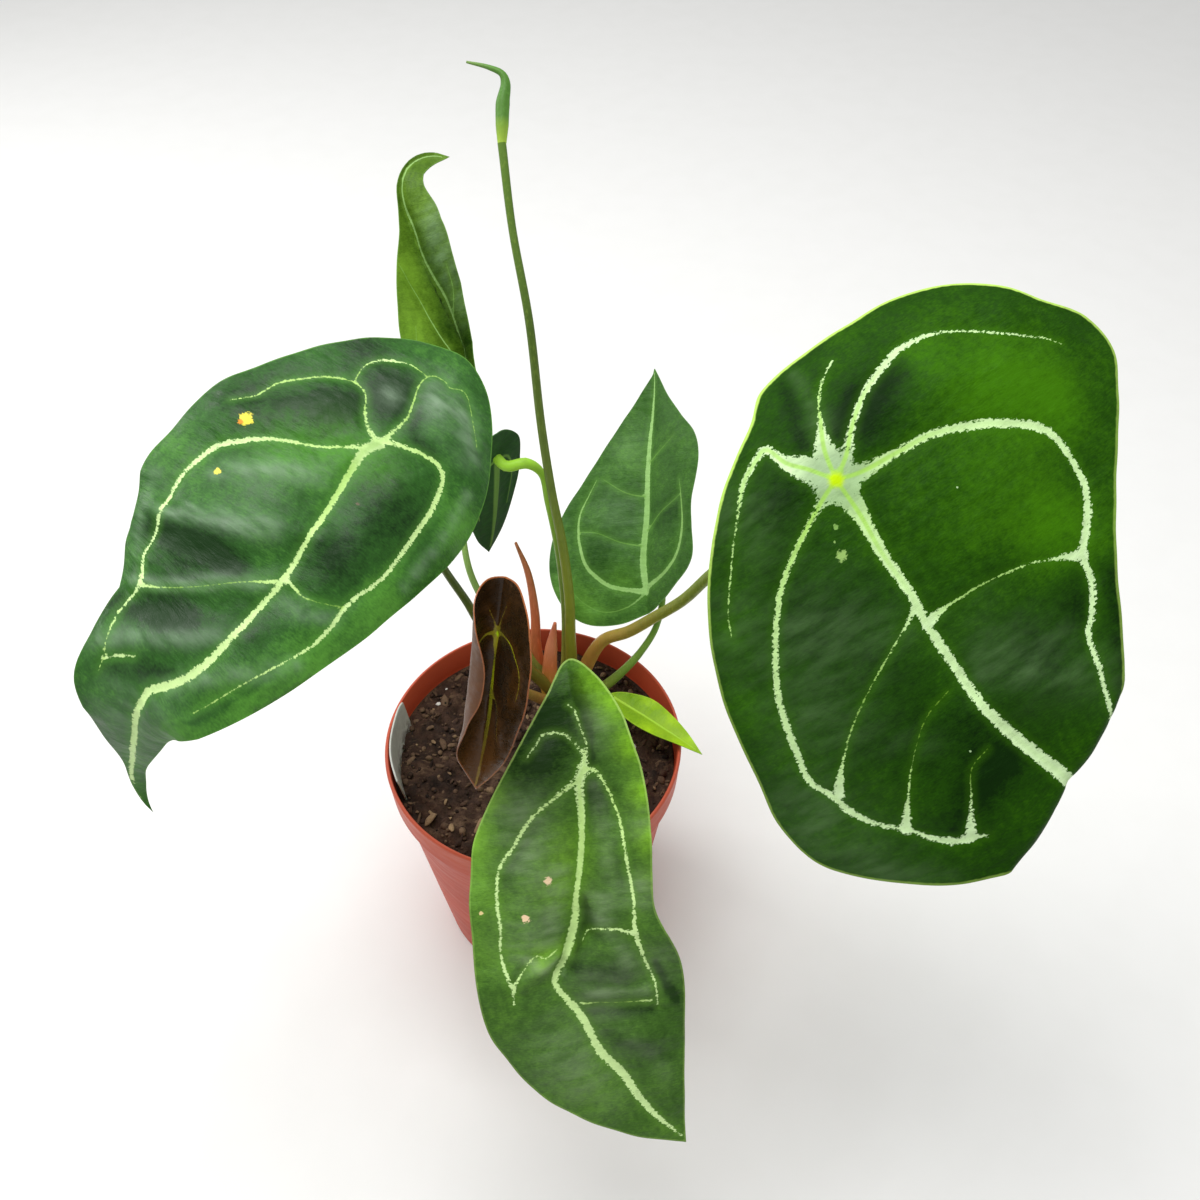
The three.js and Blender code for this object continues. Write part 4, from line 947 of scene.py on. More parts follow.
class LeafFinish(Finish):
    """A blade's finish, layer by layer: what it reads from the blade, and the grains that layers share."""

    FIELDS = ("vein", "tint", "centre", "rim", "hub", "tone", "glow", "bloom", "top")
    VELVET = {"Sheen Weight": 0.02, "Sheen Roughness": 0.4, "Sheen Tint": (0.8, 1.0, 0.82, 1.0)}
    DULLER_BELOW = 0.25

    def __init__(self, name, blade, settings):
        super().__init__(name)
        self.blade, self.settings = blade, settings
        self.flat = self.vector("MULTIPLY_ADD", self.coordinates("UV"), (FLAT_SPAN, FLAT_SPAN, 0),
                                (-FLAT_ATTACH[0], -FLAT_ATTACH[1], 0))
        self.read = {key: self.attribute(key) for key in self.FIELDS}
        self.mottle = self.noise(self.flat, 0.35, 4, 0.6)
        self.strokes = self.noise(self.stretched(self.flat, (1.3, 0.45, 1)), 1.6, 4, 0.65)
        self.wrinkles = self.noise(self.stretched(self.flat, (1, 0.3, 1)), 0.3, 3, 0.5)
        self.tooth = self.minus(self.noise(self.stretched(self.flat, (1.35, 0.75, 1)), 1.0, 3, 0.75), 0.5)
        self.coarse = self.minus(self.noise(self.flat, 0.42, 2), 0.5)

    def paint(self, key):
        """One of the blade's own colours."""
        return srgb(self.blade[key])

    def green(self):
        """Between the veins: uneven from dark to bright with painted shade and light, glowing patches partly
        of painted light shining through, and hazy patches of painted sheen.
        """
        cloud = self.noise(self.flat, 0.07, 3)
        uneven = self.plus(self.times(cloud, 0.5), self.times(self.mottle, 0.5))
        uneven = self.plus(self.minus(uneven, 0.5), self.times(self.minus(self.strokes, 0.5), 0.6))
        # The tone carries painted shade and light in patches, and painted shade along the creases, on the
        # blade's own colour
        level = self.plus(self.read["tone"], uneven)
        body = self.ramp(level, [(0.12, self.paint("dark")), (0.5, self.paint("middle")),
                                 (0.92, self.paint("bright"))])
        # Painted light shining through the thin blade, partly its own brighter green, where glow is painted
        lively = self.step(self.plus(self.mottle, self.times(self.strokes, 0.5)), 0.45, 1.0, 0.55, 1.1)
        body = self.mix(body, self.paint("glowing"), self.times(self.read["glow"], lively, True))
        # Painted sheen: the gleam colour in streaks where bloom is painted
        streaked = self.step(self.wrinkles, 0.3, 0.7, 0.35, 1.15)
        body = self.mix(body, self.paint("gleam"), self.times(self.read["bloom"], streaked, True))
        beside = self.times(self.step(self.read["vein"], -2.6, 0.0), 0.3)
        return self.mix(body, self.paint("bright"), beside)

    def veined(self, body):
        """The veins with their ragged edges, from silver to yellow, with a yellow core near the hub."""
        blade, vein, tint, hub = self.blade, self.read["vein"], self.read["tint"], self.read["hub"]
        rag = self.plus(self.times(self.tooth, 4.2), self.times(self.coarse, 1.2))
        rag = self.times(rag, self.step(hub, 3, 16, 2.5 * blade["ragged"], blade["ragged"]))
        rag = self.times(rag, self.step(tint, 0.0, 1.0, 1.0, 0.4))
        thick = self.step(vein, -1.4, 0.5, 0.3, 1.0)
        drawn = self.step(self.plus(vein, self.times(rag, thick)), -0.14, 0.12)
        line = self.mix(self.paint("silver"), self.paint("yellow"), tint)
        line = self.mix(line, srgb(blade.get("star", blade["silver"])), self.step(hub, 5, 13, 0.75, 0.0))
        core = self.times(self.step(self.read["centre"], 0.25, 0.9, 1.0, 0.0),
                          self.step(hub, 8, 40, blade["core"], blade["core"] * 0.15))
        line = self.mix(line, self.paint("yellow"), core)
        line = self.mix(line, self.paint("middle"), self.step(self.mottle, 0.5, 0.8, 0.0, 0.25))
        drawn = self.times(drawn, self.step(tint, 0.4, 1.0, 1.0, 1.0 - blade["fade"]))
        return self.mix(body, line, drawn)

    def dotted(self, body):
        """The glowing dot where the stalk meets the darkest blades."""
        dot = self.blade["dot"]
        if not dot:
            return body
        ragged_hub = self.plus(self.read["hub"], self.times(self.tooth, 1.6))
        shown = self.step(ragged_hub, dot * 0.35, dot * 1.1, 1.0, 0.0)
        return self.mix(body, self.settings.hub_colour, shown)

    def margin(self):
        """How far a place takes the margin's colour: most towards the rear."""
        width = self.blade["edge_width"]
        rim = self.plus(self.read["rim"], self.times(self.coarse, 0.5))
        near = self.step(rim, width * 0.5, width, self.blade["edge_amount"], 0.0)
        return self.times(near, self.step(self.part(self.flat, 0), -15, 30, 1.0, 0.35))

    def specked(self, body):
        """The pale specks and scars."""
        for s, t, radius, colour in self.blade["spots"]:
            away = self.vector("DISTANCE", self.flat, (s, t, 0))
            away = self.plus(away, self.times(self.tooth, radius * 2.4))
            body = self.mix(body, srgb(colour), self.step(away, radius * 0.75, radius, 1.0, 0.0))
        return body

    def underside(self, margin):
        """The plainer, paler side, with its veins and margin."""
        cloudy = self.step(self.mottle, 0.35, 0.75, 0.0, 0.35)
        below = self.mix(self.paint("under"), self.paint("bright"), cloudy)
        below = self.mix(below, self.paint("under_vein"), self.step(self.read["vein"], -0.5, 0.2, 0.0, 0.85))
        return self.mix(below, self.paint("edge"), self.times(margin, 0.6))

    def relief(self):
        """The fine net, the wrinkles that run outward and the velvet grain, one on the other."""
        net = self.times(self.cells(self.stretched(self.flat, (1.0, 0.7, 1)), 0.36), -1.0)
        normal = self.bump(net, self.settings.net_depth)
        normal = self.bump(self.wrinkles, self.settings.wrinkle_depth, normal)
        return self.bump(self.strokes, self.settings.grain_depth, normal)


def leaf_finish(name, blade, settings):
    """Velvety green with ragged pale veins on top, and a plainer, duller underside."""
    f = LeafFinish(name, blade, settings)
    margin = f.margin()
    above = f.dotted(f.veined(f.green()))
    above = f.specked(f.mix(above, f.paint("edge"), margin))
    colour = f.mix(f.underside(margin), above, f.read["top"])
    roughness = f.step(f.mottle, 0.3, 0.75, blade["shine"] - 0.07, blade["shine"] + 0.08)
    roughness = f.plus(roughness, f.times(f.minus(1.0, f.read["top"]), f.DULLER_BELOW))
    return f.finish(colour, roughness, f.relief(), blade["specular"], **f.VELVET)


def stalk_finish(name, colours, roughness=0.42):
    """Satin and faintly streaked lengthwise, its colour running from the foot to the top."""
    f = Finish(name)
    place = f.coordinates("Object")
    streaks = f.noise(f.stretched(place, (1, 1, 0.08)), 1400, 3)
    patches = f.noise(place, 160, 3)
    shifted = f.plus(f.attribute("along"), f.times(f.minus(patches, 0.5), 0.12))
    last = len(colours) - 1
    body = f.ramp(shifted, [(i / last, srgb(colour)) for i, colour in enumerate(colours)])
    pale = tuple(min(255, value * 1.25 + 12) for value in colours[last // 2])
    body = f.mix(body, srgb(pale), f.step(streaks, 0.5, 0.75, 0.0, 0.3))
    deep = tuple(value * 0.6 for value in colours[last // 2])
    body = f.mix(body, srgb(deep), f.step(patches, 0.55, 0.8, 0.0, 0.25))
    satin = f.step(patches, 0.3, 0.7, roughness - 0.06, roughness + 0.08)
    return f.finish(body, satin, f.bump(streaks, 0.00012), 0.22)


def pot_finish(settings):
    """Terracotta-coloured moulded plastic, a little dusty and scuffed."""
    f = Finish("pot plastic")
    place = f.coordinates("Object")
    haze = f.noise(place, 28, 4, 0.6)
    specks = f.noise(place, 900, 2)
    scuffs = f.noise(f.stretched(place, (1, 1, 6)), 70, 5, 0.7)
    towards_rim = f.step(f.part(place, 2), 0.098, 0.118, 0.0, 0.45)
    body = f.mix(settings.colour, settings.shade_colour, f.step(haze, 0.35, 0.7, 0.0, 0.55))
    body = f.mix(body, settings.dust_colour, towards_rim)
    body = f.mix(body, settings.dust_colour, f.step(scuffs, 0.58, 0.78, 0.0, 0.35))
    body = f.mix(body, settings.speck_colour, f.step(specks, 0.68, 0.8, 0.0, 0.35))
    return f.finish(body, f.step(scuffs, 0.3, 0.7, 0.42, 0.6), f.bump(specks, 0.00005), 0.45)


def soil_finish(settings):
    """Damp dark potting mix with paler fibres, darkest in the dips of its lumps, partly as painted shade."""
    f = Finish("potting mix")
    place = f.coordinates("Object")
    lumps = f.noise(place, 90, 6, 0.65)
    fine = f.noise(place, 700, 4, 0.7)
    fibres = f.noise(f.stretched(place, (1, 4, 1)), 260, 3)
    # Darker in the dips of the lumps that the bump sinks: the mix's own browns, partly painted shade there
    body = f.ramp(lumps, [(0.3, settings.dark_colour), (0.55, settings.colour),
                          (0.75, settings.pale_colour)])
    body = f.mix(body, settings.pale_colour, f.step(fibres, 0.6, 0.72, 0.0, 0.5))
    body = f.mix(body, settings.dark_colour, f.step(fine, 0.5, 0.7, 0.0, 0.6))
    normal = f.bump(fine, 0.0006, f.bump(lumps, 0.002))
    return f.finish(body, f.step(fine, 0.3, 0.7, 0.75, 0.95), normal, 0.25)


def crumb_finish(settings):
    """Bits of bark, peat and perlite, each with its own shade."""
    f = Finish("crumbs")
    fine = f.noise(f.coordinates("Object"), 900, 4, 0.7)
    body = f.ramp(f.attribute("shade"), [
        (0.0, settings.dark_colour), (0.45, settings.colour), (0.8, settings.pale_colour),
        (0.93, settings.chip_colour), (1.0, settings.perlite_colour)])
    body = f.mix(body, settings.dark_colour, f.step(fine, 0.48, 0.72, 0.0, 0.45))
    return f.finish(body, f.step(fine, 0.3, 0.7, 0.7, 0.92), f.bump(fine, 0.0004), 0.25)


def label_finish(settings):
    """Pale, slightly weathered plastic, dirty where it stands in the mix."""
    f = Finish("label plastic")
    place = f.coordinates("Object")
    haze = f.noise(place, 60, 4)
    dirt = f.noise(place, 300, 5, 0.7)
    body = f.mix(settings.label_colour, settings.label_shade, f.step(haze, 0.35, 0.7, 0.0, 0.6))
    low = f.times(f.step(f.part(place, 2), 0.106, 0.114, 0.8, 0.1), f.step(dirt, 0.4, 0.6))
    body = f.mix(body, settings.colour, low)
    return f.finish(body, f.step(dirt, 0.3, 0.7, 0.4, 0.6), f.bump(dirt, 0.00006), 0.4)


def crown_finish():
    """Dull brown, fibrous, with greener scars where leaves were, darkest in the hollows of its fibres,
    partly as painted shade.
    """
    f = Finish("crown bark")
    place = f.coordinates("Object")
    hollow, bark, ridge, scar = (60, 42, 26), (112, 86, 50), (150, 128, 70), (120, 130, 60)
    fibres = f.noise(f.stretched(place, (1, 1, 0.2)), 500, 4, 0.7)
    patches = f.noise(place, 120, 3)
    # Darkest in the hollows of the fibres' bump: the bark's own browns, partly painted shade there
    body = f.ramp(fibres, [(0.3, srgb(hollow)), (0.55, srgb(bark)), (0.75, srgb(ridge))])
    body = f.mix(body, srgb(scar), f.step(patches, 0.5, 0.7, 0.0, 0.6))
    return f.finish(body, f.step(patches, 0.3, 0.7, 0.6, 0.8), f.bump(fibres, 0.0005), 0.3)


def floor_finish(settings):
    """Plain pale paper."""
    f = Finish("floor paper")
    fine = f.noise(f.coordinates("Object"), 40, 3)
    colour = f.mix(settings.floor_colour, settings.floor_shade, f.step(fine, 0.3, 0.8, 0.0, 0.25))
    return f.finish(colour, 0.8, f.bump(fine, 0.0001), 0.2)


class PlantPotSettings(bpy.types.PropertyGroup):
    """The nursery pot."""

    rim_radius: FloatProperty(name="Rim radius", description="Outside radius of the rim", unit="LENGTH",
                              default=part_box("pot")[1].x, min=0.01)
    height: FloatProperty(name="Height", description="Height of the pot", unit="LENGTH",
                          default=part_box("pot")[1].z, min=0.01)
    base_radius: length_property("Base radius", "Outside radius of the base", 44.5)
    wall: length_property("Wall", "Thickness of the wall", 1.5)
    floor: length_property("Floor", "Thickness of the floor", 2.5)
    lip_depth: length_property("Lip depth", "Height of the stepped lip", 14)
    lip_step: length_property("Lip step", "How far the lip stands out past the body", 2.4)
    hole_radius: length_property("Drain hole radius", "Radius of each drain hole", 3)
    hole_ring: length_property("Drain hole ring", "Radius of the ring of drain holes", 27)
    holes: IntProperty(name="Drain holes", description="How many drain holes", default=8, min=0)
    sides: IntProperty(name="Sides", description="How finely the pot is rounded", default=144, min=24)
    colour: colour_property("Colour", "Colour of the plastic", (184, 62, 30))
    shade_colour: colour_property("Shade", "Darker patches of the plastic", (160, 50, 24))
    dust_colour: colour_property("Dust", "Chalky bloom on the plastic", (196, 92, 60))
    speck_colour: colour_property("Specks", "Fine specks in the plastic", (90, 56, 40))


class PlantSoilSettings(bpy.types.PropertyGroup):
    """The potting mix and the label in it."""

    top: length_property("Top", "Height of the mix", 107)
    lumps: length_property("Lumps", "How high the lumps stand", 1.4)
    crumbs: IntProperty(name="Crumbs", description="How many loose crumbs lie on top", default=1500, min=0)
    colour: colour_property("Colour", "Colour of the mix", (66, 45, 33))
    # Its dark colour stands partly for painted shade in the hollows of the mix
    dark_colour: colour_property("Dark", "Colour of its hollows", (26, 17, 12))
    pale_colour: colour_property("Pale", "Colour of its fibres", (114, 90, 68))
    chip_colour: colour_property("Chips", "Colour of its palest bark", (158, 130, 96))
    perlite_colour: colour_property("Perlite", "Colour of its white grains", (226, 222, 214))
    label_colour: colour_property("Label", "Colour of the label", (204, 206, 198))
    label_shade: colour_property("Label shade", "Weathered patches of the label", (176, 178, 168))


class PlantStalkSettings(bpy.types.PropertyGroup):
    """Stalks, sheaths and the crown."""

    step: length_property("Step", "Spacing of the rings along a stalk", 1.5)
    roundness: IntProperty(name="Roundness", description="How finely a stalk is rounded", default=6, min=1)


class PlantLeafSettings(bpy.types.PropertyGroup):
    """The leaf blades."""

    pitch: length_property("Pitch", "Size of a blade's triangles", 1.15)
    thickness: length_property("Thickness", "Thickness of a blade", 0.55)
    margin: length_property("Margin", "Thickness of a blade at its margin", 0.3)
    rib: length_property("Rib", "How far the veins stand out below", 0.7)
    net_depth: length_property("Net depth", "Depth of the fine net between the veins", 0.3)
    wrinkle_depth: length_property("Wrinkle depth", "Depth of the wrinkles that run outward", 0.45)
    grain_depth: length_property("Grain depth", "Depth of the velvet grain", 0.1)
    hub_colour: colour_property("Hub", "Glowing middle of the darkest blade", (190, 226, 10))


class PlantStageSettings(bpy.types.PropertyGroup):
    """Floor, lights and camera."""

    camera_place: FloatVectorProperty(name="Camera", description="Where the camera stands", unit="LENGTH",
                                      subtype="TRANSLATION", default=(0.027, -0.2895, 0.5135))
    camera_tilt: FloatProperty(name="Tilt", description="How far the camera is turned up from straight down",
                               subtype="ANGLE", default=math.radians(42.8))
    lens: FloatProperty(name="Lens", description="Focal length in millimetres", default=36, min=1)
    sky: FloatProperty(name="Sky", description="Strength of the light from all round", default=0.5, min=0)
    key: FloatProperty(name="Key", description="Power of the main softbox in watts", default=11.5, min=0)
    side: FloatProperty(name="Side", description="Power of the side softbox in watts", default=5, min=0)
    floor_colour: colour_property("Floor", "Colour of the floor", (243, 243, 241))
    floor_shade: colour_property("Floor shade", "Faint clouds of the floor", (236, 236, 233))


# Softboxes: where each stands, the place that it faces, and its width, in metres
SOFTBOXES = {
    "key": ((-0.1, 0.05, 1.3), (0.02, 0, 0.2), 0.75),
    "side": ((-0.95, 0.45, 0.75), (0.02, -0.05, 0.2), 0.5),
}


def turned_body(name, profile, sides):
    """A closed round body with a ring at each (radius, height) of the profile, and both ends filled."""
    clear_selection()
    first = profile[0]
    bpy.ops.mesh.primitive_circle_add(vertices=sides, radius=first[0], location=(0, 0, first[1]))
    piece = bpy.context.object
    piece.name = name
    apply_place(piece)
    bpy.ops.object.mode_set(mode="EDIT")
    bpy.ops.mesh.select_all(action="SELECT")
    bpy.ops.mesh.edge_face_add()
    bpy.ops.mesh.select_mode(type="EDGE")
    for (radius, height), (wider, higher) in zip(profile, profile[1:]):
        bpy.ops.mesh.extrude_region()
        bpy.ops.transform.translate(value=(0, 0, higher - height))
        share = wider / radius
        bpy.ops.transform.resize(value=(share, share, 1), center_override=(0, 0, higher))
    bpy.ops.object.mode_set(mode="OBJECT")
    pick(piece)
    bpy.ops.object.mode_set(mode="EDIT")
    bpy.ops.mesh.select_all(action="DESELECT")
    bpy.ops.mesh.select_mode(type="EDGE")
    bpy.ops.mesh.select_non_manifold()
    bpy.ops.mesh.edge_face_add()
    bpy.ops.object.mode_set(mode="OBJECT")
    close_up(piece)
    return piece


class PLANT_OT_pot(bpy.types.Operator):
    """Moulds the tapered pot with its stepped lip and drain holes"""

    bl_idname = "plant.pot"
    bl_label = "Pot"

    def execute(self, context):
        s = context.scene.plant_pot
        lip_bottom = s.height - s.lip_depth
        body_top = s.rim_radius - s.lip_step - 0.6 * MM

        def outer(height):
            return s.base_radius + (body_top - s.base_radius) * height / lip_bottom

        foot = [(s.base_radius - inset * MM, rise * MM) for inset, rise in
                ((6, 0.9), (5, 0.2), (4.2, 0), (1.2, 0), (0.3, 0.4), (0, 1.4))]
        body = [(outer(lip_bottom * share), lip_bottom * share) for share in (0.33, 0.66)]
        shoulder = [(body_top, lip_bottom - 0.4 * MM), (body_top + 0.2 * MM, lip_bottom)]
        lip = [(s.rim_radius - 1.1 * MM, lip_bottom), (s.rim_radius - 0.7 * MM, lip_bottom + 0.4 * MM),
               (s.rim_radius - 0.35 * MM, lip_bottom + s.lip_depth * 0.5)]
        brim = [(s.rim_radius - inset * MM, s.height - drop * MM) for inset, drop in
                ((0.15, 2), (0, 1.1), (0.15, 0.4), (0.6, 0))]
        inner_lip = [(s.rim_radius - s.wall + 0.3 * MM, s.height),
                     (s.rim_radius - s.wall, s.height - 0.5 * MM),
                     (s.rim_radius - 0.5 * MM - s.wall, lip_bottom + 3 * MM),
                     (s.rim_radius - 0.9 * MM - s.wall, lip_bottom + 1.5 * MM)]
        inner_wall = [(outer(lip_bottom) - s.wall, lip_bottom - 1 * MM),
                      (outer(s.floor) - s.wall, s.floor + 2 * MM),
                      (outer(s.floor) - s.wall - 1 * MM, s.floor + 0.3 * MM),
                      (outer(s.floor) - s.wall - 2 * MM, s.floor)]
        pot = turned_body("pot", foot + body + shoulder + lip + brim + inner_lip + inner_wall, s.sides)
        for i in range(s.holes):
            angle = 2 * math.pi * i / s.holes
            clear_selection()
            bpy.ops.mesh.primitive_cylinder_add(
                vertices=32, radius=s.hole_radius, depth=4 * s.floor,
                location=(s.hole_ring * math.cos(angle), s.hole_ring * math.sin(angle), s.floor / 2))
            cutter = context.object
            apply_modifier(pot, "BOOLEAN", object=cutter, operation="DIFFERENCE", solver="EXACT")
            bpy.data.objects.remove(cutter)
        dress(pot, "pot_moulded", pot_finish(s), ["pot"], 40)
        return {"FINISHED"}


def soil_height(x, y, settings):
    """Height of the mix at places in metres, by its long low lumps."""
    x, y = x / MM, y / MM
    lumps = np.sin(0.21 * x + 1.3) * np.cos(0.17 * y) + 0.6 * np.sin(0.43 * x - 0.37 * y + 2)
    return settings.top + settings.lumps * 0.6 * lumps


def slump(reach, brim):
    """How far the mix sinks towards the wall, at a distance from the middle."""
    return -1.5 * MM * np.clip((reach / brim - 0.8) / 0.2, 0, 1)


def rough_height(x, y, draws):
    """Small uneven lumps at places in metres, as a height in metres."""
    total = np.zeros(len(x))
    for wavelength, height in ((9, 0.9), (6.5, 0.7), (4.6, 0.55), (3.3, 0.4), (2.3, 0.3), (1.7, 0.2)):
        for _ in range(3):
            angle, phase = draws.uniform(0, 2 * math.pi, 2)
            ahead = (x * math.cos(angle) + y * math.sin(angle)) / MM
            total += height * MM * np.sin(2 * math.pi * ahead / wavelength + phase) / 2.4
    return total


def turned(spin, lean):
    """The turn that leans a crumb over and then spins it."""
    upright = np.array([[math.cos(spin), -math.sin(spin), 0], [math.sin(spin), math.cos(spin), 0],
                        [0, 0, 1]])
    level = np.array([[math.cos(lean), 0, math.sin(lean)], [0, 1, 0],
                      [-math.sin(lean), 0, math.cos(lean)]])
    return upright @ level


class PLANT_OT_soil(bpy.types.Operator):
    """Fills the pot with a lumpy potting mix, with loose crumbs, bark and perlite on top"""

    bl_idname = "plant.soil"
    bl_label = "Potting mix"
    SHAPES = ((1, 0.8, 0.7), (0.9, 1, 0.6), (1.5, 0.7, 0.32), (2.1, 0.34, 0.28))
    SHARES = (0.38, 0.3, 0.2, 0.12)
    LUMP = 0
    FLAKE = 2
    PERLITE_EVERY = 110

    def execute(self, context):
        s, pot = context.scene.plant_soil, context.scene.plant_pot
        lip_bottom = pot.height - pot.lip_depth
        brim = pot.rim_radius - 1.0 * MM - pot.wall
        rings, sides = 56, 168
        profile = [((i + 0.5) / rings * brim, s.top) for i in range(rings)]
        profile += [(brim, lip_bottom + 1.8 * MM), (brim - 2.6 * MM, lip_bottom - 1 * MM),
                    (pot.base_radius - pot.wall + 0.3 * MM, pot.floor + 0.3 * MM)]
        bed = turned_body("bed", profile, sides)
        draws = np.random.default_rng(SEED)
        places = corners(bed)
        x, y, z = places.T
        upper = z > s.top - 0.5 * MM
        rough = rough_height(x, y, draws)
        reach = np.hypot(x, y)
        settled = np.clip((brim - reach) / (3 * MM), 0, 1)
        places[:, 2] = np.where(upper, soil_height(x, y, s) + rough * settled + slump(reach, brim), z)
        set_corners(bed, places)
        dress(bed, "potting_mix", soil_finish(s), ["soil"], 80)
        self.scatter(s, brim, draws)
        return {"FINISHED"}

    def crumb_shapes(self, draws):
        """A few crumbs, modelled once: two lumps, a flake of bark and a short fibre."""
        shapes = []
        for scale in self.SHAPES:
            clear_selection()
            bpy.ops.mesh.primitive_ico_sphere_add(subdivisions=2, radius=1)
            lump = bpy.context.object
            places = corners(lump)
            ahead = places @ draws.uniform(-3.5, 3.5, (3, 4))
            bumps = 1 + 0.35 * np.sin(ahead + draws.uniform(0, 6, 4)).mean(1)
            set_corners(lump, places * bumps[:, None] * np.array(scale))
            faces = np.array([tuple(polygon.vertices) for polygon in lump.data.polygons])
            shapes.append((corners(lump), faces))
            bpy.data.objects.remove(lump)
        return shapes

    def scatter(self, s, brim, draws):
        """Lays copies of the crumbs on the mix, each with its own size, turn and shade."""
        shapes = self.crumb_shapes(draws)
        places, faces, shades = [], [], []
        first = 0
        for i in range(s.crumbs):
            radius = brim * math.sqrt(draws.uniform(0, 0.985))
            angle = draws.uniform(0, 2 * math.pi)
            x, y = radius * math.cos(angle), radius * math.sin(angle)
            kind = draws.choice(len(shapes), p=self.SHARES)
            size = MM * draws.uniform(0.5, 1.0) * (0.8 + 1.4 * draws.uniform() ** 3)
            shade = draws.uniform(0, 0.85)
            if kind == self.FLAKE:
                size, shade = size * 1.35, draws.uniform(0.4, 0.94)
            if i % self.PERLITE_EVERY == 7:
                kind, size, shade = self.LUMP, MM * draws.uniform(0.9, 1.6), 1.0
            corner, face = shapes[kind]
            spin, lean = draws.uniform(0, 2 * math.pi), draws.uniform(-0.5, 0.5)
            limit = brim - 2.2 * size
            if radius > limit:
                x, y = x * limit / radius, y * limit / radius
            height = soil_height(np.array([x]), np.array([y]), s)[0]
            lift = draws.uniform(-0.2, 0.6) * size
            place = np.array([x, y, height + slump(math.hypot(x, y), brim) + lift])
            places.append((corner * size) @ turned(spin, lean).T + place)
            faces.append(face + first)
            shades.append(np.full(len(corner), shade))
            first += len(corner)
        crumbs = new_piece("crumbs", np.concatenate(places), np.concatenate(faces))
        add_values(crumbs.data, "shade", np.concatenate(shades))
        dress(crumbs, "soil_crumbs", crumb_finish(s), [], 60)


class PLANT_OT_label(bpy.types.Operator):
    """Pushes a blank curved label down inside the wall"""

    bl_idname = "plant.label"
    bl_label = "Label"

    def execute(self, context):
        s = context.scene.plant_soil
        low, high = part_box("label")
        start, end = math.radians(163), math.radians(203)
        bottom_radius, top_radius, thickness = 53.8 * MM, 57.2 * MM, 0.7 * MM
        clear_selection()
        bpy.ops.mesh.primitive_grid_add(x_subdivisions=40, y_subdivisions=14, size=1)
        label = bpy.context.object
        places = corners(label)
        across, up = places[:, 0] + 0.5, places[:, 1] + 0.5
        rounded = 1 - 0.06 * np.clip((up - 0.8) / 0.2, 0, 1) ** 3 * (np.abs(across - 0.5) * 2) ** 8
        angle = start + (end - start) * across
        height = low.z + (high.z - low.z) * up * rounded
        radius = bottom_radius + (top_radius - bottom_radius) * up + 0.15 * MM * np.sin(9 * across + 2)
        set_corners(label, np.stack([radius * np.cos(angle), radius * np.sin(angle), height], 1))
        apply_modifier(label, "SOLIDIFY", thickness=thickness, offset=0)
        apply_modifier(label, "BEVEL", width=0.15 * MM, segments=2, limit_method="ANGLE")
        close_up(label)
        dress(label, "plant_label", label_finish(s), ["label"], 50)
        return {"FINISHED"}


def furled_outline(turns, depth):
    """A closed flat outline like a leaf rolled on itself: one step in, where its free edge lies."""
    clear_selection()
    bpy.ops.curve.primitive_bezier_circle_add()
    outline = bpy.context.object
    outline.data.splines.clear()
    spline = outline.data.splines.new("POLY")
    steps = 22
    spline.points.add(steps - 1)
    for i, point in enumerate(spline.points):
        angle = turns + 2 * math.pi * i / steps
        radius = MM * (1 - depth * (1 - i / (steps - 1)))
        point.co = (radius * math.cos(angle), radius * math.sin(angle), 0, 1)
    spline.use_cyclic_u = True
    outline.data.dimensions = "2D"
    outline.data.fill_mode = "NONE"
    return outline


def drawn_tube(points, radii, step, roundness, outline=None):
    """A tube along a smooth line through the points, in millimetres, with a value along it."""
    path = smooth_path(points, step, True)
    run = np.concatenate([[0], np.cumsum(np.linalg.norm(np.diff(path, axis=0), axis=1))])
    marks = [run[np.linalg.norm(path - np.array(point, float), axis=1).argmin()] for point in points]
    sizes = np.interp(run, marks, radii)
    clear_selection()
    bpy.ops.curve.primitive_nurbs_path_add()
    curve = bpy.context.object
    curve.data.splines.clear()
    spline = curve.data.splines.new("POLY")
    spline.points.add(len(path) - 1)
    for point, place, size in zip(spline.points, path, sizes):
        point.co = (*(place * MM), 1)
        point.radius = size
    curve.data.dimensions = "3D"
    curve.data.bevel_depth = MM
    curve.data.bevel_resolution = roundness
    curve.data.use_fill_caps = True
    if outline:
        curve.data.bevel_mode = "OBJECT"
        curve.data.bevel_object = outline
    bpy.ops.object.convert(target="MESH")
    tube = bpy.context.object
    close_up(tube)
    places = corners(tube) / MM
    nearest = np.array([np.linalg.norm(path - place, axis=1).argmin() for place in places])
    add_values(tube.data, "along", run[nearest] / run[-1])
    return tube


def stalk_line(stalk, thickness):
    """A stalk's points, the last two worked out from the blade that it carries."""
    if "blade" not in stalk:
        return stalk["points"]
    surface = BladeSurface(BLADES[stalk["blade"]])
    down = -surface.normal(np.zeros(1), np.zeros(1))[0]
    under = [tuple(surface.attach + down * distance) for distance in (stalk["hinge"], thickness / 2)]
    if "end" in stalk:
        under.append(stalk["end"])
    return [*stalk["points"], *under]


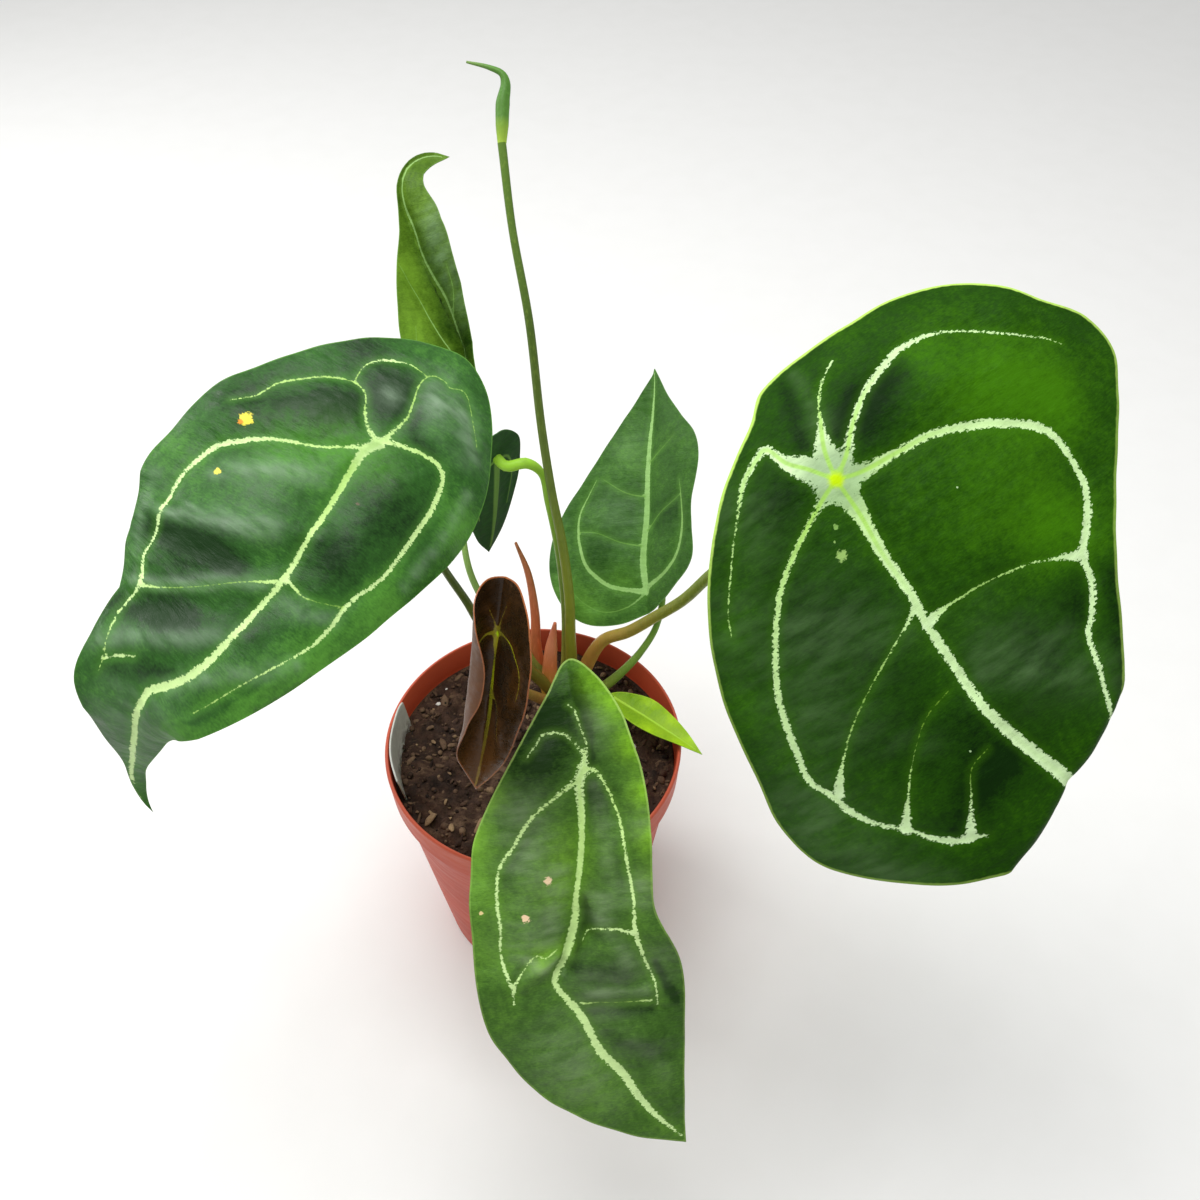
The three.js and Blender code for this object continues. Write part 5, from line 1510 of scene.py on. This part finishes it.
class PLANT_OT_crown(bpy.types.Operator):
    """Models the short fibrous crown that the stalks rise from"""

    bl_idname = "plant.crown"
    bl_label = "Crown"

    def execute(self, context):
        low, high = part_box("crown")
        x, y = (low.x + high.x) / 2, (low.y + high.y) / 2
        radius = (high.x - low.x) / 2
        shares = [(0.55, 0), (0.72, 0.01), (0.9, 0.1), (1, 0.21), (0.96, 0.3), (1, 0.4), (0.94, 0.48),
                  (0.99, 0.56), (0.88, 0.64), (0.9, 0.72), (0.76, 0.8), (0.72, 0.87), (0.5, 0.94),
                  (0.3, 0.985), (0.12, 1)]
        profile = [(share * radius, low.z + (high.z - low.z) * up) for share, up in shares]
        sides, furrows, depth, twist = 40, 7, 0.05, 60
        crown = turned_body("crown", profile, sides)
        apply_modifier(crown, "SUBSURF", levels=1, render_levels=1)
        places = corners(crown)
        angle = np.arctan2(places[:, 1], places[:, 0])
        ripple = 1 - depth * (1 + np.sin(furrows * angle + twist * places[:, 2] / MM / 40)) / 2
        places[:, :2] *= ripple[:, None]
        set_corners(crown, places + np.array([x, y, 0]))
        dress(crown, "crown_stem", crown_finish(), ["crown"], 60)
        return {"FINISHED"}


class PLANT_OT_stalks(bpy.types.Operator):
    """Draws every leaf stalk and the flower stalk along its own line"""

    bl_idname = "plant.stalks"
    bl_label = "Stalks"

    def execute(self, context):
        s, leaf = context.scene.plant_stalk, context.scene.plant_leaf
        for name, stalk in STALKS.items():
            points = stalk_line(stalk, leaf.thickness / MM)
            tube = drawn_tube(points, stalk["radii"], s.step / MM, s.roundness)
            finish = stalk_finish(name.replace("_", " "), stalk["colours"])
            dress(tube, name + "_drawn", finish, [name], 60)
        return {"FINISHED"}


class PLANT_OT_sheaths(bpy.types.Operator):
    """Draws the two thin sheaths, each rolled on itself, at the foot of the stalks"""

    bl_idname = "plant.sheaths"
    bl_label = "Sheaths"

    def execute(self, context):
        s = context.scene.plant_stalk
        outline = furled_outline(-2.2, 0.22)
        for name, sheath in SHEATHS.items():
            tube = drawn_tube(sheath["points"], sheath["radii"], s.step / MM, s.roundness, outline)
            finish = stalk_finish(name.replace("_", " "), sheath["colours"], 0.34)
            dress(tube, name + "_rolled", finish, [name], 40)
        bpy.data.objects.remove(outline)
        return {"FINISHED"}


class PLANT_OT_leaves(bpy.types.Operator):
    """Shapes every leaf blade, with its sunken veins and quilted surface"""

    bl_idname = "plant.leaves"
    bl_label = "Leaf blades"

    def execute(self, context):
        s = context.scene.plant_leaf
        for name, blade in BLADES.items():
            piece = self.shape(name, blade, s)
            dress(piece, name + "_leaf", leaf_finish(name.replace("_", " "), blade, s),
                  [name + "_blade"], 80)
        return {"FINISHED"}

    def shape(self, name, blade, s):
        """One blade: two faces alike, with the veins standing out below, and a thin rounded margin."""
        surface = BladeSurface(blade)
        flat, triangles, closed = flat_blade(blade, s.pitch / MM)
        fields = blade_fields(blade, flat, closed)
        along, across = flat.T
        normal = surface.normal(along, across)
        middle = surface.point(along, across) + normal * fields.pop("rise")[:, None]
        thickness, margin = s.thickness / MM, s.margin / MM
        thinned, flush = 2.5, 3
        half = (margin + (thickness - margin) * np.clip(fields["rim"] / thinned, 0, 1)) / 2
        width = np.clip(fields["vein"] + fields["centre"], 0.15, 2)
        keel = s.rib / MM * np.exp(-(fields["centre"] / (0.5 + 0.6 * width)) ** 2) * np.clip(width, 0, 1)
        keel *= np.clip(fields["rim"] / flush, 0, 1)
        top = middle + normal * half[:, None]
        below = middle - normal * (half + keel)[:, None]
        count = len(flat)
        used = {}
        for a, b, c in triangles:
            for edge in ((a, b), (b, c), (c, a)):
                used[edge] = used.get(edge, 0) + 1
        walls = []
        for a, b in used:
            if (b, a) not in used:
                walls += [(b, a, a + count), (b, a + count, b + count)]
        faces = [*triangles, *(triangles[:, ::-1] + count), *walls]
        piece = new_piece(name, np.concatenate([top, below]) * MM, faces)
        for key, values in fields.items():
            add_values(piece.data, key, np.concatenate([values, values]))
        add_values(piece.data, "top", np.concatenate([np.ones(count), np.zeros(count)]))
        layer = piece.data.uv_layers.new(name="UVMap")
        spot = np.concatenate([flat, flat]) / FLAT_SPAN + np.array(FLAT_ATTACH) / FLAT_SPAN
        loops = np.empty(len(piece.data.loops), np.int32)
        piece.data.loops.foreach_get("vertex_index", loops)
        layer.data.foreach_set("uv", spot[loops].astype(np.float32).ravel())
        return piece


class PLANT_OT_flower(bpy.types.Operator):
    """Draws the furled flower with its hooked tip"""

    bl_idname = "plant.flower"
    bl_label = "Flower bud"

    def execute(self, context):
        s = context.scene.plant_stalk
        outline = furled_outline(0.6, 0.16)
        tube = drawn_tube(BUD["points"], BUD["radii"], 0.5 * s.step / MM, s.roundness, outline)
        bpy.data.objects.remove(outline)
        finish = stalk_finish("flower", BUD["colours"], 0.45)
        dress(tube, "flower_furled", finish, ["flower_bud"], 40)
        return {"FINISHED"}


class PLANT_OT_stage(bpy.types.Operator):
    """Sets the plain floor, the soft lights and the camera"""

    bl_idname = "plant.stage"
    bl_label = "Stage"

    def execute(self, context):
        s = context.scene.plant_stage
        clear_selection()
        bpy.ops.mesh.primitive_plane_add(size=12, location=(0, 0, 0))
        floor = bpy.context.object
        floor.name = "floor"
        floor.data.materials.append(floor_finish(s))

        world = bpy.data.worlds.new("studio")
        context.scene.world = world
        world.use_nodes = True
        background = world.node_tree.nodes["Background"]
        background.inputs["Color"].default_value = (1.0, 1.0, 1.0, 1.0)
        background.inputs["Strength"].default_value = s.sky
        for name, (place, aim, size) in SOFTBOXES.items():
            self.softbox(name, place, aim, size, getattr(s, name))
        bpy.ops.object.camera_add(location=s.camera_place, rotation=(s.camera_tilt, 0, 0))
        camera = bpy.context.object
        camera.data.lens = s.lens
        camera.data.sensor_width = 36
        camera.data.clip_start = 0.01
        context.scene.camera = camera
        context.scene.view_settings.view_transform = "Standard"
        return {"FINISHED"}

    def softbox(self, name, place, aim, size, power):
        """A square soft light at a place, facing the aim."""
        bpy.ops.object.light_add(type="AREA", location=place)
        light = bpy.context.object
        light.name = name
        light.data.shape = "SQUARE"
        light.data.size = size
        light.data.energy = power
        away = np.array(place) - np.array(aim)
        turn = math.atan2(away[1], away[0]) + math.pi / 2
        light.rotation_euler = (math.atan2(math.hypot(away[0], away[1]), away[2]), 0, turn)


class PLANT_PT_panel(bpy.types.Panel):
    """Lists the pieces of the plant in the 3D view's sidebar"""

    bl_idname = "PLANT_PT_panel"
    bl_label = "House plant"
    bl_space_type = "VIEW_3D"
    bl_region_type = "UI"
    bl_category = "House plant"

    def draw(self, context):
        for operator, group in STEPS:
            self.layout.operator(operator.bl_idname)
            settings = getattr(context.scene, group)
            for name in settings.__annotations__:
                self.layout.prop(settings, name)


GROUPS = {
    "plant_pot": PlantPotSettings, "plant_soil": PlantSoilSettings, "plant_stalk": PlantStalkSettings,
    "plant_leaf": PlantLeafSettings, "plant_stage": PlantStageSettings,
}
STEPS = [
    (PLANT_OT_stage, "plant_stage"), (PLANT_OT_pot, "plant_pot"), (PLANT_OT_soil, "plant_soil"),
    (PLANT_OT_label, "plant_soil"), (PLANT_OT_crown, "plant_stalk"), (PLANT_OT_stalks, "plant_stalk"),
    (PLANT_OT_sheaths, "plant_stalk"), (PLANT_OT_leaves, "plant_leaf"), (PLANT_OT_flower, "plant_stalk"),
]


def register():
    for group in GROUPS.values():
        bpy.utils.register_class(group)
    for name, group in GROUPS.items():
        setattr(bpy.types.Scene, name, PointerProperty(type=group))
    for operator, _ in STEPS:
        bpy.utils.register_class(operator)
    bpy.utils.register_class(PLANT_PT_panel)


def unregister():
    bpy.utils.unregister_class(PLANT_PT_panel)
    for operator, _ in reversed(STEPS):
        bpy.utils.unregister_class(operator)
    for name, group in GROUPS.items():
        delattr(bpy.types.Scene, name)
        bpy.utils.unregister_class(group)


def main():
    register()
    for operator, _ in STEPS:
        group, name = operator.bl_idname.split(".")
        getattr(getattr(bpy.ops, group), name)()


if __name__ == "__main__":
    main()
